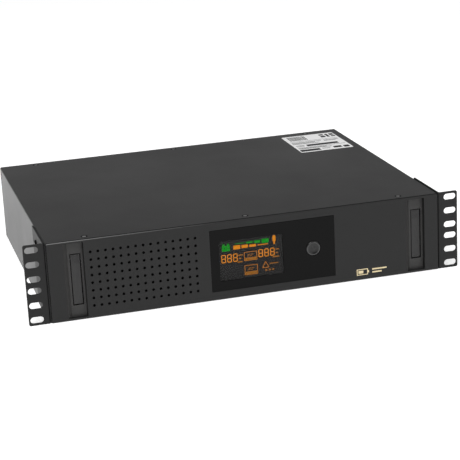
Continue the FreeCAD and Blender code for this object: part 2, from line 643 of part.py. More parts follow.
def make_front_bezel():
    """A moulded plate with a skirt, a vent grid, two finger channels and a window recess."""
    bezel = body("front_bezel")
    plate = sketch_on(bezel, "XZ_Plane", f"-{PLATE_FRONT}")
    draw_rectangle(plate, "-bezel_width / 2", "bezel_rise", "bezel_width / 2", "bezel_rise + bezel_height")
    pad(bezel, plate, "bezel_wall", backwards=True)
    front = number(PLATE_FRONT)
    rim = edges_where(bezel.Shape, lambda edge: all(abs(v.Y - front) < 0.01 for v in edge.Vertexes))
    dress(bezel, "Chamfer", bezel.Tip, rim, "Size", "bezel_edge")
    skirt = sketch_on(bezel, "XZ_Plane", f"-{PLATE_BACK}")
    draw_rectangle(skirt, "-skirt_width / 2", "skirt_low", "skirt_width / 2", "skirt_high")
    draw_rectangle(skirt, "-skirt_width / 2 + skirt_wall", "skirt_low + skirt_wall",
                   "skirt_width / 2 - skirt_wall", "skirt_high - skirt_wall")
    pad(bezel, skirt, "skirt_depth", backwards=True)
    for channel in ("channel_left", "channel_right"):
        add_channel(bezel, channel)
    recess = sketch_on(bezel, "XZ_Plane", f"-{PLATE_FRONT}")
    draw_rectangle(recess, "window_left", "window_low", "window_right", "window_high")
    pocket(bezel, recess, "window_sheet")
    through = sketch_on(bezel, "XZ_Plane", f"-{PLATE_FRONT}")
    draw_rectangle(through, "lcd_left - lcd_frame / 2", "lcd_low - lcd_frame / 2",
                   "lcd_right + lcd_frame / 2", "lcd_high + lcd_frame / 2")
    draw_circle(through, "button_across", "button_rise", "button_radius + button_gap")
    pocket(bezel, through, "bezel_wall")
    vent = sketch_on(bezel, "XZ_Plane", f"-{PLATE_FRONT}")
    draw_circle(vent, "vent_left", "vent_low", "vent_radius")
    hole = pocket(bezel, vent, "bezel_wall")
    grid = bezel.newObject("PartDesign::LinearPattern", "Grid")
    grid.Originals = [hole]
    grid.Direction = (vent, ["H_Axis"])
    grid.Direction2 = (vent, ["V_Axis"])
    grid.Occurrences = how_many("vent_columns")
    grid.Occurrences2 = how_many("vent_rows")
    bind(grid, {"Length": "vent_width", "Length2": "vent_height"})
    bezel.Tip = grid


def add_channel(bezel, channel):
    """A finger channel: a trough with one sloping side, lugs and an opening for the latch."""
    outer = "(channel_half + trough_wall)"
    trough = sketch_on(bezel, "XZ_Plane", f"-{PLATE_BACK}")
    draw_rectangle(trough, f"{channel} - {outer}", "channel_low - trough_end",
                   f"{channel} + {outer}", "channel_high + trough_end")
    pad(bezel, trough, f"{TROUGH_BACK} - {PLATE_BACK}", backwards=True)
    centre = f"({channel} + latch_shift)"
    lugs = sketch_on(bezel, "XZ_Plane", f"-{TROUGH_BACK}")
    for sign in SIGNS:
        near = f"{centre} + {sign} * (latch_opening / 2 + lug_gap)"
        far = f"{centre} + {sign} * (latch_opening / 2 + lug_gap + lug_wall)"
        draw_rectangle(lugs, near, "pivot_rise - lug_half", far, "pivot_rise + lug_half")
    pad(bezel, lugs, "lug_reach", backwards=True)
    profile = sketch_on(bezel, "XY_Plane", "channel_low")
    draw_outline(profile, [
        (f"{channel} - channel_half", PLATE_FRONT),
        (f"{channel} - channel_half + channel_slope", f"{PLATE_FRONT} + channel_depth"),
        (f"{channel} + channel_half - channel_wall", f"{PLATE_FRONT} + channel_depth"),
        (f"{channel} + channel_half", PLATE_FRONT),
    ])
    pocket(bezel, profile, "channel_high - channel_low", backwards=True)
    opening = sketch_on(bezel, "XZ_Plane", f"-{PLATE_FRONT}")
    draw_rectangle(opening, f"{centre} - latch_opening / 2", "latch_low",
                   f"{centre} + latch_opening / 2", "latch_high")
    pocket(bezel, opening, "channel_depth + trough_wall")
    bore = sketch_on(bezel, "YZ_Plane", f"{centre} - latch_opening")
    draw_circle(bore, "rail + pivot_setback", "pivot_rise", "pivot_radius")
    pocket(bezel, bore, "2 * latch_opening", backwards=True)


def make_latch_lever(label, channel):
    """A rocking plate with a knuckle on its pin and a hook that reaches behind the bulkhead."""
    centre = f"({channel} + latch_shift)"
    half = "(latch_opening / 2 - latch_gap)"
    face = f"({PLATE_FRONT} + channel_depth + latch_sink)"
    axis = "(rail + pivot_setback)"
    low, high = "(latch_low + latch_gap)", "(latch_high - latch_gap)"
    nose = "(rail + bulkhead_setback + sheet + hook_behind)"
    pieces = [
        box((f"{centre} - {half}", face, low), (f"2 * {half}", "latch_sheet", f"{high} - {low}")),
        box((f"{centre} - {half}", f"{TROUGH_BACK} + button_seat", f"{high} - latch_lip"),
            (f"2 * {half}", "latch_lip_sheet", "2 * latch_lip")),
        box((f"{centre} - {half}", f"{face} + latch_sheet", "pivot_rise - knuckle_radius"),
            (f"2 * {half}", f"{axis} - {face} - latch_sheet", "2 * knuckle_radius")),
        rod((f"{centre} - {half}", axis, "pivot_rise"), "knuckle_radius", f"2 * {half}", "x"),
        box((f"{centre} - hook_width / 2", f"{face} + latch_sheet", "hook_rise"),
            ("hook_width", f"{nose} + hook_tip - {face} - latch_sheet", "hook_arm")),
        box((f"{centre} - hook_width / 2", nose, "hook_rise"),
            ("hook_width", "hook_tip", "hook_arm + hook_catch")),
    ]
    bore = rod((f"{centre} - {half}", axis, "pivot_rise"), "pivot_bore", f"2 * {half}", "x")
    name_part(cut(join(*pieces), bore), label)


def make_latch_pins():
    """A plain pin through each latch's knuckle, pressed into the bezel's lugs."""
    reach = "(latch_opening / 2 + lug_gap + lug_wall)"
    pins = []
    for channel in ("channel_left", "channel_right"):
        start = (f"{channel} + latch_shift - {reach}", "rail + pivot_setback", "pivot_rise")
        pins.append(rod(start, "pivot_radius", f"2 * {reach}", "x"))
    name_part(group(*pins), "latch_pins")


def make_latch_springs():
    """The torsion springs' coils, between each knuckle and its lugs."""
    coils = []
    for channel in ("channel_left", "channel_right"):
        for sign in SIGNS:
            middle = f"({channel} + latch_shift + {sign} * (latch_opening / 2 - latch_gap / 2 + lug_gap / 2))"
            start = (f"{middle} - latch_coil_length / 2", "rail + pivot_setback", "pivot_rise")
            coils.append(tube(start, "latch_coil", "latch_coil_bore", "latch_coil_length", "x"))
    name_part(group(*coils), "latch_springs")


def make_dust_filter():
    low = ("filter_left", PLATE_BACK, "filter_low")
    size = ("filter_right - filter_left", "filter_depth", "filter_high - filter_low")
    name_part(box(low, size), "dust_filter")


# ---- display, power button and display board ----

def make_display_window():
    """A flush panel over the display, with a round hole for the button."""
    low = ("window_left + window_gap", PLATE_FRONT, "window_low + window_gap")
    size = ("window_right - window_left - 2 * window_gap", "window_sheet",
            "window_high - window_low - 2 * window_gap")
    hole = rod(("button_across", PLATE_FRONT, "button_rise"), "button_radius + button_gap",
               "window_sheet", "y")
    name_part(cut(box(low, size), hole), "display_window")


COLLAR = f"({PLATE_BACK} + button_seat)"


def make_power_button():
    """A dished cap, with a collar that keeps it behind the plate and a stem."""
    face = f"({PLATE_FRONT} - button_proud)"
    places = ("button_across", face, "button_rise")
    cap = rod(places, "button_radius", f"{COLLAR} - {face}", "y")
    collar = rod(("button_across", COLLAR, "button_rise"), "button_collar", "button_collar_depth", "y")
    stem_start = ("button_across", f"{COLLAR} + button_collar_depth", "button_rise")
    stem = rod(stem_start, "button_stem", "button_stem_length", "y")
    dish = cone(places, "button_radius - button_rim", "button_radius - 2 * button_rim", "button_dish", "y")
    name_part(cut(join(cap, collar, stem), dish), "power_button")


def make_button_spring():
    """The return spring's outer shape, from the collar to the display board."""
    start = ("button_across", f"{COLLAR} + button_collar_depth", "button_rise")
    length = f"rail + board_front - ({COLLAR} + button_collar_depth)"
    name_part(tube(start, "spring_outer", "spring_inner", length, "y"), "button_spring")


def make_tact_switch():
    face = "(rail + board_front - switch_depth)"
    case = box(("button_across - switch_side / 2", face, "button_rise - switch_side / 2"),
               ("switch_side", "switch_depth", "switch_side"))
    plunger = rod(("button_across", f"{face} - switch_plunger_depth", "button_rise"), "switch_plunger",
                  "switch_plunger_depth", "y")
    name_part(join(case, plunger), "tact_switch")


def make_lcd():
    """The glass and the frame that holds it to the board."""
    left, low = "(lcd_left - lcd_frame)", "(lcd_low - lcd_frame)"
    width = "lcd_right - lcd_left + 2 * lcd_frame"
    height = "lcd_high - lcd_low + 2 * lcd_frame"
    glass = box((left, "rail + lcd_front", low), (width, "lcd_glass", height))
    name_part(glass, "lcd_panel")
    depth = "board_front - lcd_front - lcd_glass"
    frame = box((left, "rail + lcd_front + lcd_glass", low), (width, depth, height))
    name_part(frame, "lcd_frame")


def board_corner_places():
    for across in ("board_left + post_inset", "board_right - post_inset"):
        for rise in ("board_low + post_inset", "board_high - post_inset"):
            yield f"({across})", f"({rise})"


def make_display_board():
    low = ("board_left", "rail + board_front", "board_low")
    size = ("board_right - board_left", "board_sheet", "board_high - board_low")
    holes = [rod((across, "rail + board_front", rise), "small_screw", "board_sheet", "y")
             for across, rise in board_corner_places()]
    name_part(cut(box(low, size), *holes), "display_board")


# ---- batteries ----

BATTERY_FLOOR = "(sheet + pad_sheet)"


def battery_front_place(index):
    return f"(rail + battery_front + {index} * battery_pitch)"


def terminal_places():
    """Each terminal's middle and the face it stands on. The two batteries face each other."""
    for index in range(2):
        face = f"({battery_front_place(index)} + {1 - index} * battery_depth)"
        for across in ("battery_left + terminal_inset",
                       "battery_left + battery_length - terminal_inset"):
            yield index, f"({across})", face


def make_batteries():
    """Two sealed batteries lying on their sides, each a case with a lid at its terminal end."""
    for index, label in enumerate(("battery_front", "battery_rear")):
        front = battery_front_place(index)
        lid_front = f"({front} + {1 - index} * (battery_depth - battery_lid))"
        case_front = f"({front} + {index} * battery_lid)"
        case = box(("battery_left + battery_edge", case_front, f"{BATTERY_FLOOR} + battery_edge"),
                   ("battery_length - 2 * battery_edge", "battery_depth - battery_lid",
                    "battery_height - 2 * battery_edge"))
        lid = box(("battery_left", lid_front, BATTERY_FLOOR),
                  ("battery_length", "battery_lid", "battery_height"))
        foot = box(("battery_left", f"{front} + {index} * (battery_depth - battery_lid)", BATTERY_FLOOR),
                   ("battery_length", "battery_lid", "battery_height"))
        name_part(join(case, lid, foot), label)


def terminal_rise():
    return f"({BATTERY_FLOOR} + battery_height - terminal_drop)"


def make_battery_terminals():
    """Flat push-on tabs, two on each battery."""
    tabs = []
    for index, across, face in terminal_places():
        front = face if index == 0 else f"({face} - terminal_length)"
        low = (f"{across} - terminal_sheet / 2", front, f"{terminal_rise()} - terminal_width / 2")
        tabs.append(box(low, ("terminal_sheet", "terminal_length", "terminal_width")))
    name_part(group(*tabs), "battery_terminals")


def pad_places(index):
    """The front edges of the two foam strips under a battery."""
    front = battery_front_place(index)
    yield f"({front} + pad_inset)"
    yield f"({front} + battery_depth - pad_inset - pad_width)"


def make_battery_pads():
    """Foam strips between the batteries and the tray."""
    strips = []
    for index in range(2):
        for front in pad_places(index):
            low = ("battery_left + pad_inset", front, FLOOR)
            size = ("battery_length - 2 * pad_inset", "pad_width", "pad_sheet + battery_edge")
            strips.append(box(low, size))
    name_part(group(*strips), "battery_pads")


def clamp_outline():
    """The clamp's inside faces: left, right and top."""
    right = "(battery_left + battery_length)"
    return "battery_left", right, f"({BATTERY_FLOOR} + battery_height - battery_edge)"


def make_battery_clamps():
    """A strap folded over each battery, with a foot on the tray at its right end."""
    left, right, top = clamp_outline()
    clamps = []
    for index in range(2):
        front = f"({battery_front_place(index)} + clamp_inset)"
        pieces = [
            box((f"{left} - clamp_sheet", front, top),
                ("battery_length + 2 * clamp_sheet", "clamp_width", "clamp_sheet")),
            box((f"{left} - clamp_sheet", front, FLOOR),
                ("clamp_sheet", "clamp_width", f"{top} - sheet")),
            box((right, front, FLOOR), ("clamp_sheet", "clamp_width", f"{top} - sheet")),
            box((right, front, FLOOR), ("clamp_foot", "clamp_width", "clamp_sheet")),
        ]
        hole = rod((f"{right} + clamp_hole", f"{front} + clamp_width / 2", FLOOR), "screw_shank",
                   "clamp_sheet")
        clamps.append(cut(join(*pieces), hole))
    name_part(group(*clamps), "battery_clamps")


def clamp_screw_places():
    right = "(battery_left + battery_length)"
    for index in range(2):
        front = f"({battery_front_place(index)} + clamp_inset)"
        yield f"({right} + clamp_hole)", f"({front} + clamp_width / 2)", "(sheet + clamp_sheet)"


# ---- transformer ----

CORE_RIGHT = "(core_left + core_length)"
CORE_TOP = "(sheet + core_height)"
BRACKET_FRONT = "(rail + core_front + (core_depth - bracket_width) / 2)"


def make_transformer():
    """A laminated core of two windows, the coil round its middle limb and the clamp over it."""
    block = box(("core_left", "rail + core_front", FLOOR), ("core_length", "core_depth", "core_height"))
    windows = []
    for left in ("core_left + core_limb", f"{CORE_RIGHT} - 2 * core_limb"):
        low = (left, "rail + core_front", "sheet + core_limb")
        windows.append(box(low, ("core_limb", "core_depth", "core_height - 2 * core_limb")))
    name_part(cut(block, *windows), "transformer_core")
    outer_left = "(core_left + core_limb + coil_gap)"
    outer = box((outer_left, "rail + core_front - coil_reach", "sheet + core_limb + coil_gap"),
                ("core_length - 2 * core_limb - 2 * coil_gap", "core_depth + 2 * coil_reach",
                 "core_height - 2 * core_limb - 2 * coil_gap"))
    limb = box(("core_left + 2 * core_limb", "rail + core_front", FLOOR),
               ("core_length - 4 * core_limb", "core_depth", "core_height"))
    name_part(cut(outer, limb), "transformer_coil")
    left = "(core_left - bracket_sheet)"
    pieces = [
        box((left, BRACKET_FRONT, CORE_TOP),
            ("core_length + 2 * bracket_sheet", "bracket_width", "bracket_sheet")),
        box((left, BRACKET_FRONT, FLOOR), ("bracket_sheet", "bracket_width", "core_height")),
        box((CORE_RIGHT, BRACKET_FRONT, FLOOR), ("bracket_sheet", "bracket_width", "core_height")),
        box((f"{left} - bracket_foot", BRACKET_FRONT, FLOOR),
            ("bracket_foot", "bracket_width", "bracket_sheet")),
        box((f"{CORE_RIGHT} + bracket_sheet", BRACKET_FRONT, FLOOR),
            ("bracket_foot", "bracket_width", "bracket_sheet")),
    ]
    holes = [rod((across, behind, FLOOR), "screw_shank", "bracket_sheet")
             for across, behind, _ in bracket_screw_places()]
    name_part(cut(join(*pieces), *holes), "transformer_bracket")


def bracket_screw_places():
    for across in ("(core_left - bracket_sheet - bracket_foot / 2)",
                   f"({CORE_RIGHT} + bracket_sheet + bracket_foot / 2)"):
        yield across, f"({BRACKET_FRONT} + bracket_width / 2)", "(sheet + bracket_sheet)"


def make_bracket_screws():
    """Pan-head screws that hold the clamps and the transformer's bracket to the tray."""
    screws = []
    for across, behind, top in list(clamp_screw_places()) + list(bracket_screw_places()):
        head = rod((across, behind, top), "pan_radius", "pan_height")
        shank = rod((across, behind, FLOOR), "screw_shank", f"{top} - sheet")
        recess = prism((across, behind, f"{top} + pan_height - screw_recess"), 6, "socket", "screw_recess")
        screws.append(cut(join(head, shank), recess))
    name_part(group(*screws), "bracket_screws")


# ---- main board ----

BOARD_TOP = "(main_rise + main_sheet)"


def main_corner_places():
    """Where the main board is held: its corners and the middles of its long edges."""
    for across in ("main_left + post_inset", "(main_left + main_right) / 2", "main_right - post_inset"):
        for behind in ("main_front + post_inset", "main_back - post_inset"):
            yield f"({across})", f"(rail + {behind})"


def make_main_board():
    low = ("main_left", "rail + main_front", "main_rise")
    size = ("main_right - main_left", "main_back - main_front", "main_sheet")
    holes = [rod((across, behind, "main_rise"), "small_screw", "main_sheet")
             for across, behind in main_corner_places()]
    name_part(cut(box(low, size), *holes), "main_board")


def make_insulation_sheet():
    """A thin sheet between the tray and the main board, cut away round the posts."""
    low = ("main_left - post_inset", "rail + main_front - post_inset", FLOOR)
    size = ("main_right - main_left + post_inset", "main_back - main_front + 2 * post_inset", "liner_sheet")
    holes = [rod((across, behind, FLOOR), "post_radius", "liner_sheet")
             for across, behind in main_corner_places()]
    name_part(cut(box(low, size), *holes), "insulation_sheet")


def make_board_standoffs():
    """Brass posts under the main board and behind the display board."""
    posts = []
    for across, behind in main_corner_places():
        posts.append(tube((across, behind, FLOOR), "post_radius", "small_screw", "main_rise - sheet"))
    start = "(rail + board_front + board_sheet)"
    length = "bulkhead_setback - board_front - board_sheet"
    for across, rise in board_corner_places():
        posts.append(tube((across, start, rise), "post_radius", "small_screw", length, "y"))
    name_part(group(*posts), "board_standoffs")


def make_board_screws():
    """Small screws through both boards into their posts."""
    screws = []
    for across, behind in main_corner_places():
        head = rod((across, behind, BOARD_TOP), "small_head", "small_head_height")
        shank = rod((across, behind, f"{BOARD_TOP} - small_screw_length"), "small_screw",
                    "small_screw_length")
        screws.append(join(head, shank))
    for across, rise in board_corner_places():
        head = rod((across, "rail + board_front - small_head_height", rise), "small_head",
                   "small_head_height", "y")
        shank = rod((across, "rail + board_front", rise), "small_screw", "small_screw_length", "y")
        screws.append(join(head, shank))
    name_part(group(*screws), "board_screws")


def sink_fronts():
    return ("(rail + sink_front)", "(rail + sink_front + sink_second - sink_base)")


def make_heat_sinks():
    """Two upright finned extrusions whose bases face each other across the board."""
    for index, (label, front) in enumerate(zip(("heat_sink_front", "heat_sink_rear"), sink_fronts())):
        sink = body(label)
        base = sketch_on(sink, "XY_Plane", BOARD_TOP)
        draw_rectangle(base, "sink_across", front, "sink_across + sink_length", f"{front} + sink_base")
        pad(sink, base, "sink_height")
        fin = sketch_on(sink, "XY_Plane", BOARD_TOP)
        fin_front = f"{front} - sink_reach" if index == 0 else f"{front} + sink_base"
        draw_rectangle(fin, "sink_across", fin_front, "sink_across + sink_fin", f"{fin_front} + sink_reach")
        first = pad(sink, fin, "sink_height")
        row = sink.newObject("PartDesign::LinearPattern", "Fins")
        row.Originals = [first]
        row.Direction = (fin, ["H_Axis"])
        row.Occurrences = how_many("sink_fins")
        bind(row, {"Length": "sink_length - sink_fin"})
        sink.Tip = row


def make_power_transistors():
    """Flat packages bolted to the bases of the heat sinks, four on each."""
    chips = []
    first, second = sink_fronts()
    for face in (f"({first} + sink_base)", f"({second} - chip_sheet)"):
        for index in range(how_many("chip_count")):
            left = f"sink_across + chip_inset + {index} * chip_pitch"
            low = (left, face, f"{BOARD_TOP} + chip_rise")
            chip = box(low, ("chip_width", "chip_sheet", "chip_height"))
            legs = []
            for leg in range(how_many("chip_legs")):
                place = (f"{left} + chip_leg_inset + {leg} * chip_leg_pitch",
                         f"{face} + chip_sheet / 2 - terminal_sheet / 2", BOARD_TOP)
                legs.append(box(place, ("terminal_sheet", "terminal_sheet", "chip_rise")))
            chips.append(join(chip, *legs))
    name_part(group(*chips), "power_transistors")


def make_capacitors():
    """Upright cans in a row at the board's right side."""
    cans = []
    for index in range(how_many("capacitor_count")):
        place = ("capacitor_across", f"rail + capacitor_front + {index} * capacitor_pitch", BOARD_TOP)
        cans.append(rod(place, "capacitor_radius", "capacitor_height"))
    name_part(group(*cans), "capacitors")


def make_relays():
    cases = []
    for index in range(how_many("relay_count")):
        low = ("relay_across", f"rail + relay_front + {index} * relay_pitch", BOARD_TOP)
        cases.append(box(low, ("relay_length", "relay_width", "relay_height")))
    name_part(group(*cases), "relays")


def make_choke():
    place = ("choke_across", "rail + choke_front", BOARD_TOP)
    name_part(tube(place, "choke_outer", "choke_inner", "choke_height"), "choke")


def make_terminal_block():
    low = ("block_left", "rail + block_front", BOARD_TOP)
    size = ("terminal_block_length", "terminal_block_depth", "terminal_block_height")
    pockets = []
    for index in range(how_many("block_ways")):
        place = (f"block_left + (0.5 + {index}) * terminal_block_length / block_ways",
                 "rail + block_front + terminal_block_depth / 2",
                 f"{BOARD_TOP} + terminal_block_height - pan_height")
        pockets.append(rod(place, "small_head", "pan_height"))
    name_part(cut(box(low, size), *pockets), "terminal_block")


def make_fuses():
    """Two cartridge fuses lying in clips."""
    fuses = []
    for index in range(2):
        behind = f"(rail + fuse_front + {index} * fuse_pitch)"
        barrel = rod(("fuse_left", behind, f"{BOARD_TOP} + fuse_radius + clamp_sheet"), "fuse_radius",
                     "fuse_length", "x")
        clips = [box((left, f"{behind} - fuse_radius", BOARD_TOP),
                     ("fuse_clip", "2 * fuse_radius", "fuse_radius"))
                 for left in ("fuse_left", "fuse_left + fuse_length - fuse_clip")]
        fuses.append(join(barrel, *clips))
    name_part(group(*fuses), "fuses")


# ---- fan ----

FAN_FRONT = "(rail + chassis_depth - sheet - fan_depth)"
HUB_FRONT = "(rail + chassis_depth - sheet - fan_depth + fan_setback)"


def make_fan_housing():
    """A square frame with a round duct, and struts at the rear that carry the motor."""
    low = ("fan_across - fan_side / 2", FAN_FRONT, "fan_rise - fan_side / 2")
    frame = box(low, ("fan_side", "fan_depth", "fan_side"))
    duct = rod(("fan_across", FAN_FRONT, "fan_rise"), "fan_bore", "fan_depth", "y")
    corners = [rod((across, FAN_FRONT, rise), "fan_screw_bore", "fan_depth", "y")
               for across, rise in fan_corners()]
    shell = cut(frame, duct, *corners)
    struts = []
    strut_count = how_many("fan_struts")
    for index in range(strut_count):
        strut = box(("fan_across", f"{WALL} - fan_wall", "fan_rise"),
                    ("fan_bore + fan_wall / 2", "fan_wall", "fan_strut"))
        turn = 360 * (index + 0.5) / strut_count
        strut.Placement.Rotation = FreeCAD.Rotation(FreeCAD.Vector(0, 1, 0), turn)
        struts.append(strut)
    plate = rod(("fan_across", f"{WALL} - fan_wall", "fan_rise"), "fan_hub", "fan_wall", "y")
    name_part(join(shell, plate, *struts), "fan_housing")


def make_fan_motor():
    """The stator inside the hub, with a bore for the rotor's shaft."""
    start = ("fan_across", f"{HUB_FRONT} + 2 * fan_wall", "fan_rise")
    length = f"{WALL} - fan_wall - ({HUB_FRONT} + 2 * fan_wall)"
    name_part(tube(start, "fan_motor", "fan_shaft_bore", length, "y"), "fan_motor")


def make_fan_rotor():
    """A cupped hub on a shaft, with twisted blades in a ring."""
    rotor = body("fan_rotor")
    rotor.Placement.Base = FreeCAD.Vector(number("fan_across"), number(HUB_FRONT), number("fan_rise"))
    put(rotor, ("fan_across", HUB_FRONT, "fan_rise"))
    hub = sketch_on(rotor, "XZ_Plane")
    draw_circle(hub, "0", "0", "fan_hub")
    pad(rotor, hub, "fan_hub_depth", backwards=True)
    hollow = sketch_on(rotor, "XZ_Plane", "-fan_wall / 2")
    draw_circle(hollow, "0", "0", "fan_hub - fan_wall / 2")
    pocket(rotor, hollow, "fan_hub_depth")
    shaft = sketch_on(rotor, "XZ_Plane")
    draw_circle(shaft, "0", "0", "fan_shaft")
    pad(rotor, shaft, "fan_hub_depth", backwards=True)
    root = sketch_on(rotor, "YZ_Plane", "blade_root")
    draw_outline(root, blade_section("blade_root_pitch"))
    tip = sketch_on(rotor, "YZ_Plane", "fan_blade_reach")
    draw_outline(tip, blade_section("blade_tip_pitch"))
    blade = rotor.newObject("PartDesign::AdditiveLoft", "Blade")
    blade.Profile = root
    blade.Sections = [tip]
    rotor.Tip = blade
    ring = rotor.newObject("PartDesign::PolarPattern", "Blades")
    ring.Originals = [blade]
    ring.Axis = (origin_item(rotor, "Y_Axis"), [""])
    ring.Angle = 360
    ring.Occurrences = how_many("fan_blades")
    rotor.Tip = ring


def blade_section(pitch):
    """A thin slanted blade section: its front edge is low and its rear edge is high."""
    middle, half = "(fan_hub_depth / 2)", "(fan_hub_depth / 2 - fan_blade_inset)"
    return [
        (f"{middle} - {half}", f"-{pitch}"),
        (f"{middle} + {half}", pitch),
        (f"{middle} + {half}", f"{pitch} + fan_blade"),
        (f"{middle} - {half}", f"-{pitch} + fan_blade"),
    ]


# ---- rear panel fittings ----

def make_mains_inlet():
    """A flanged socket body with a deep cavity round its three pins."""
    flange = box(("inlet_across - inlet_flange_width / 2", BACK, "inlet_rise - inlet_flange_height / 2"),
                 ("inlet_flange_width", "inlet_flange_depth", "inlet_flange_height"))
    case = box(("inlet_across - inlet_width / 2", f"{BACK} - inlet_depth", "inlet_rise - inlet_height / 2"),
               ("inlet_width", "inlet_depth", "inlet_height"))
    mouth = f"({BACK} + inlet_flange_depth)"
    cavity = box(("inlet_across - cavity_width / 2", f"{mouth} - cavity_depth",
                  "inlet_rise - cavity_height / 2"), ("cavity_width", "cavity_depth", "cavity_height"))
    screw_holes = [rod((f"inlet_across + {sign} * inlet_screw", BACK, "inlet_rise"), "small_screw",
                       "inlet_flange_depth", "y") for sign in SIGNS]
    name_part(cut(join(flange, case), cavity, *screw_holes), "mains_inlet")
    pins = []
    for sign, rise in ((-1, "0"), (0, "pin_ground"), (1, "0")):
        low = (f"inlet_across + {sign} * pin_pitch - pin_width / 2", f"{mouth} - cavity_depth",
               f"inlet_rise + {rise} - pin_height / 2")
        pins.append(box(low, ("pin_width", "pin_length", "pin_height")))
    name_part(group(*pins), "inlet_pins")


def make_outlet_sockets():
    """Six snap-in outlets, each with three contact slots."""
    sockets = []
    for across, rise in outlet_places():
        flange = box((f"{across} - outlet_flange_width / 2", BACK, f"{rise} - outlet_flange_height / 2"),
                     ("outlet_flange_width", "outlet_flange_depth", "outlet_flange_height"))
        case = box((f"{across} - outlet_width / 2", f"{BACK} - outlet_depth", f"{rise} - outlet_height / 2"),
                   ("outlet_width", "outlet_depth", "outlet_height"))
        slots = []
        for sign, lift in ((-1, "0"), (0, "pin_ground"), (1, "0")):
            low = (f"{across} + {sign} * pin_pitch - contact_width / 2",
                   f"{BACK} + outlet_flange_depth - contact_depth", f"{rise} + {lift} - contact_height / 2")
            slots.append(box(low, ("contact_width", "contact_depth", "contact_height")))
        sockets.append(cut(join(flange, case), *slots))
    name_part(group(*sockets), "outlet_sockets")


RESET_END = f"({BACK} + breaker_nut_depth + reset_proud)"


def make_breaker():
    """A threaded bush with a case behind the wall, a nut outside, and its reset button."""
    case = box(("breaker_across - breaker_radius", f"{WALL} - breaker_depth", "breaker_rise - breaker_nut"),
               ("2 * breaker_radius", "breaker_depth", "2 * breaker_nut"))
    bush = rod(("breaker_across", WALL, "breaker_rise"), "breaker_radius", "sheet + breaker_nut_depth", "y")
    nut = prism(("breaker_across", BACK, "breaker_rise"), 6, "breaker_nut", "breaker_nut_depth", "y")
    bore = rod(("breaker_across", f"{RESET_END} - reset_length - reset_travel", "breaker_rise"),
               "reset_radius + reset_gap", "reset_length + reset_travel", "y")
    name_part(cut(join(case, bush, nut), bore), "breaker_body")
    button = rod(("breaker_across", f"{RESET_END} - reset_length", "breaker_rise"), "reset_radius",
                 "reset_length", "y")
    name_part(button, "breaker_reset")


def make_earth_stud():
    shank = rod(("earth_across", f"{WALL} - sheet", "earth_rise"), "screw_shank", "earth_length", "y")
    nut = prism(("earth_across", BACK, "earth_rise"), 6, "earth_nut", "earth_nut_depth", "y")
    name_part(join(shank, nut), "earth_stud")


def make_card_cover():
    """A blank plate over the option card's opening."""
    low = ("card_left - 2 * card_screw_inset", BACK, "card_low")
    plate = box(low, ("card_width + 4 * card_screw_inset", "sheet", "card_height"))
    holes = [rod((across, BACK, rise), "screw_shank", "sheet", "y") for across, rise in card_screw_places()]
    name_part(cut(plate, *holes), "card_cover")


def make_rear_screws():
    """The fan's screws, the inlet's screws and the option card's thumbscrews."""
    screws = []
    for across, rise in fan_corners():
        head = rod((across, BACK, rise), "pan_radius", "pan_height", "y")
        shank = rod((across, f"{BACK} - screw_length", rise), "screw_shank", "screw_length", "y")
        recess = prism((across, f"{BACK} + pan_height - screw_recess", rise), 6, "socket",
                       "screw_recess", "y")
        screws.append(cut(join(head, shank), recess))
    for sign in SIGNS:
        across = f"inlet_across + {sign} * inlet_screw"
        head = rod((across, f"{BACK} + inlet_flange_depth", "inlet_rise"), "small_head",
                   "small_head_height", "y")
        shank = rod((across, f"{WALL} - sheet", "inlet_rise"), "small_screw",
                    "inlet_flange_depth + 2 * sheet", "y")
        screws.append(join(head, shank))
    for across, rise in card_screw_places():
        knob = rod((across, f"{BACK} + sheet", rise), "card_knob", "card_knob_depth", "y")
        shank = rod((across, f"{WALL} - sheet", rise), "screw_shank", "3 * sheet", "y")
        screws.append(join(knob, shank))
    name_part(group(*screws), "rear_screws")


def make_ports():
    """A USB socket and two network jacks on a small board behind the rear wall."""
    behind = f"({BACK} + clamp_sheet)"
    usb = box(("usb_left", f"{behind} - usb_depth", "port_low"), ("usb_width", "usb_depth", "usb_height"))
    tongue_space = box(("usb_left + clamp_sheet", f"{behind} - usb_depth + 2 * clamp_sheet",
                        "port_low + clamp_sheet"),
                       ("usb_width - 2 * clamp_sheet", "usb_depth", "usb_height - 2 * clamp_sheet"))
    tongue = box(("usb_left + usb_width / 2 - tongue_width / 2", f"{behind} - usb_depth",
                  "port_low + usb_height / 2 - tongue_height / 2"),
                 ("tongue_width", "usb_depth - clamp_sheet", "tongue_height"))
    sockets = [join(cut(usb, tongue_space), tongue)]
    for left in jack_places():
        case = box((left, f"{behind} - jack_depth", "port_low"), ("jack_width", "jack_depth", "jack_height"))
        mouth = box((f"{left} + (jack_width - jack_cavity_width) / 2", f"{behind} - jack_cavity_depth",
                     "port_low + jack_cavity_rise"),
                    ("jack_cavity_width", "jack_cavity_depth", "jack_cavity_height"))
        sockets.append(cut(case, mouth))
    name_part(group(*sockets), "port_sockets")
    low = ("usb_left - post_inset", f"{WALL} - port_board_depth", "port_low - board_sheet")
    name_part(box(low, ("port_board_width", "port_board_depth", "board_sheet")), "port_board")


def make_rating_label():
    low = ("label_left", "rail + label_front", "chassis_height")
    size = ("label_right - label_left", "label_back - label_front", "label_sheet")
    name_part(box(low, size), "rating_label")


# ---- leads ----

# An arc's setback from its corner, as a share of the shorter of its two runs.
ARC_SHARE = 0.45


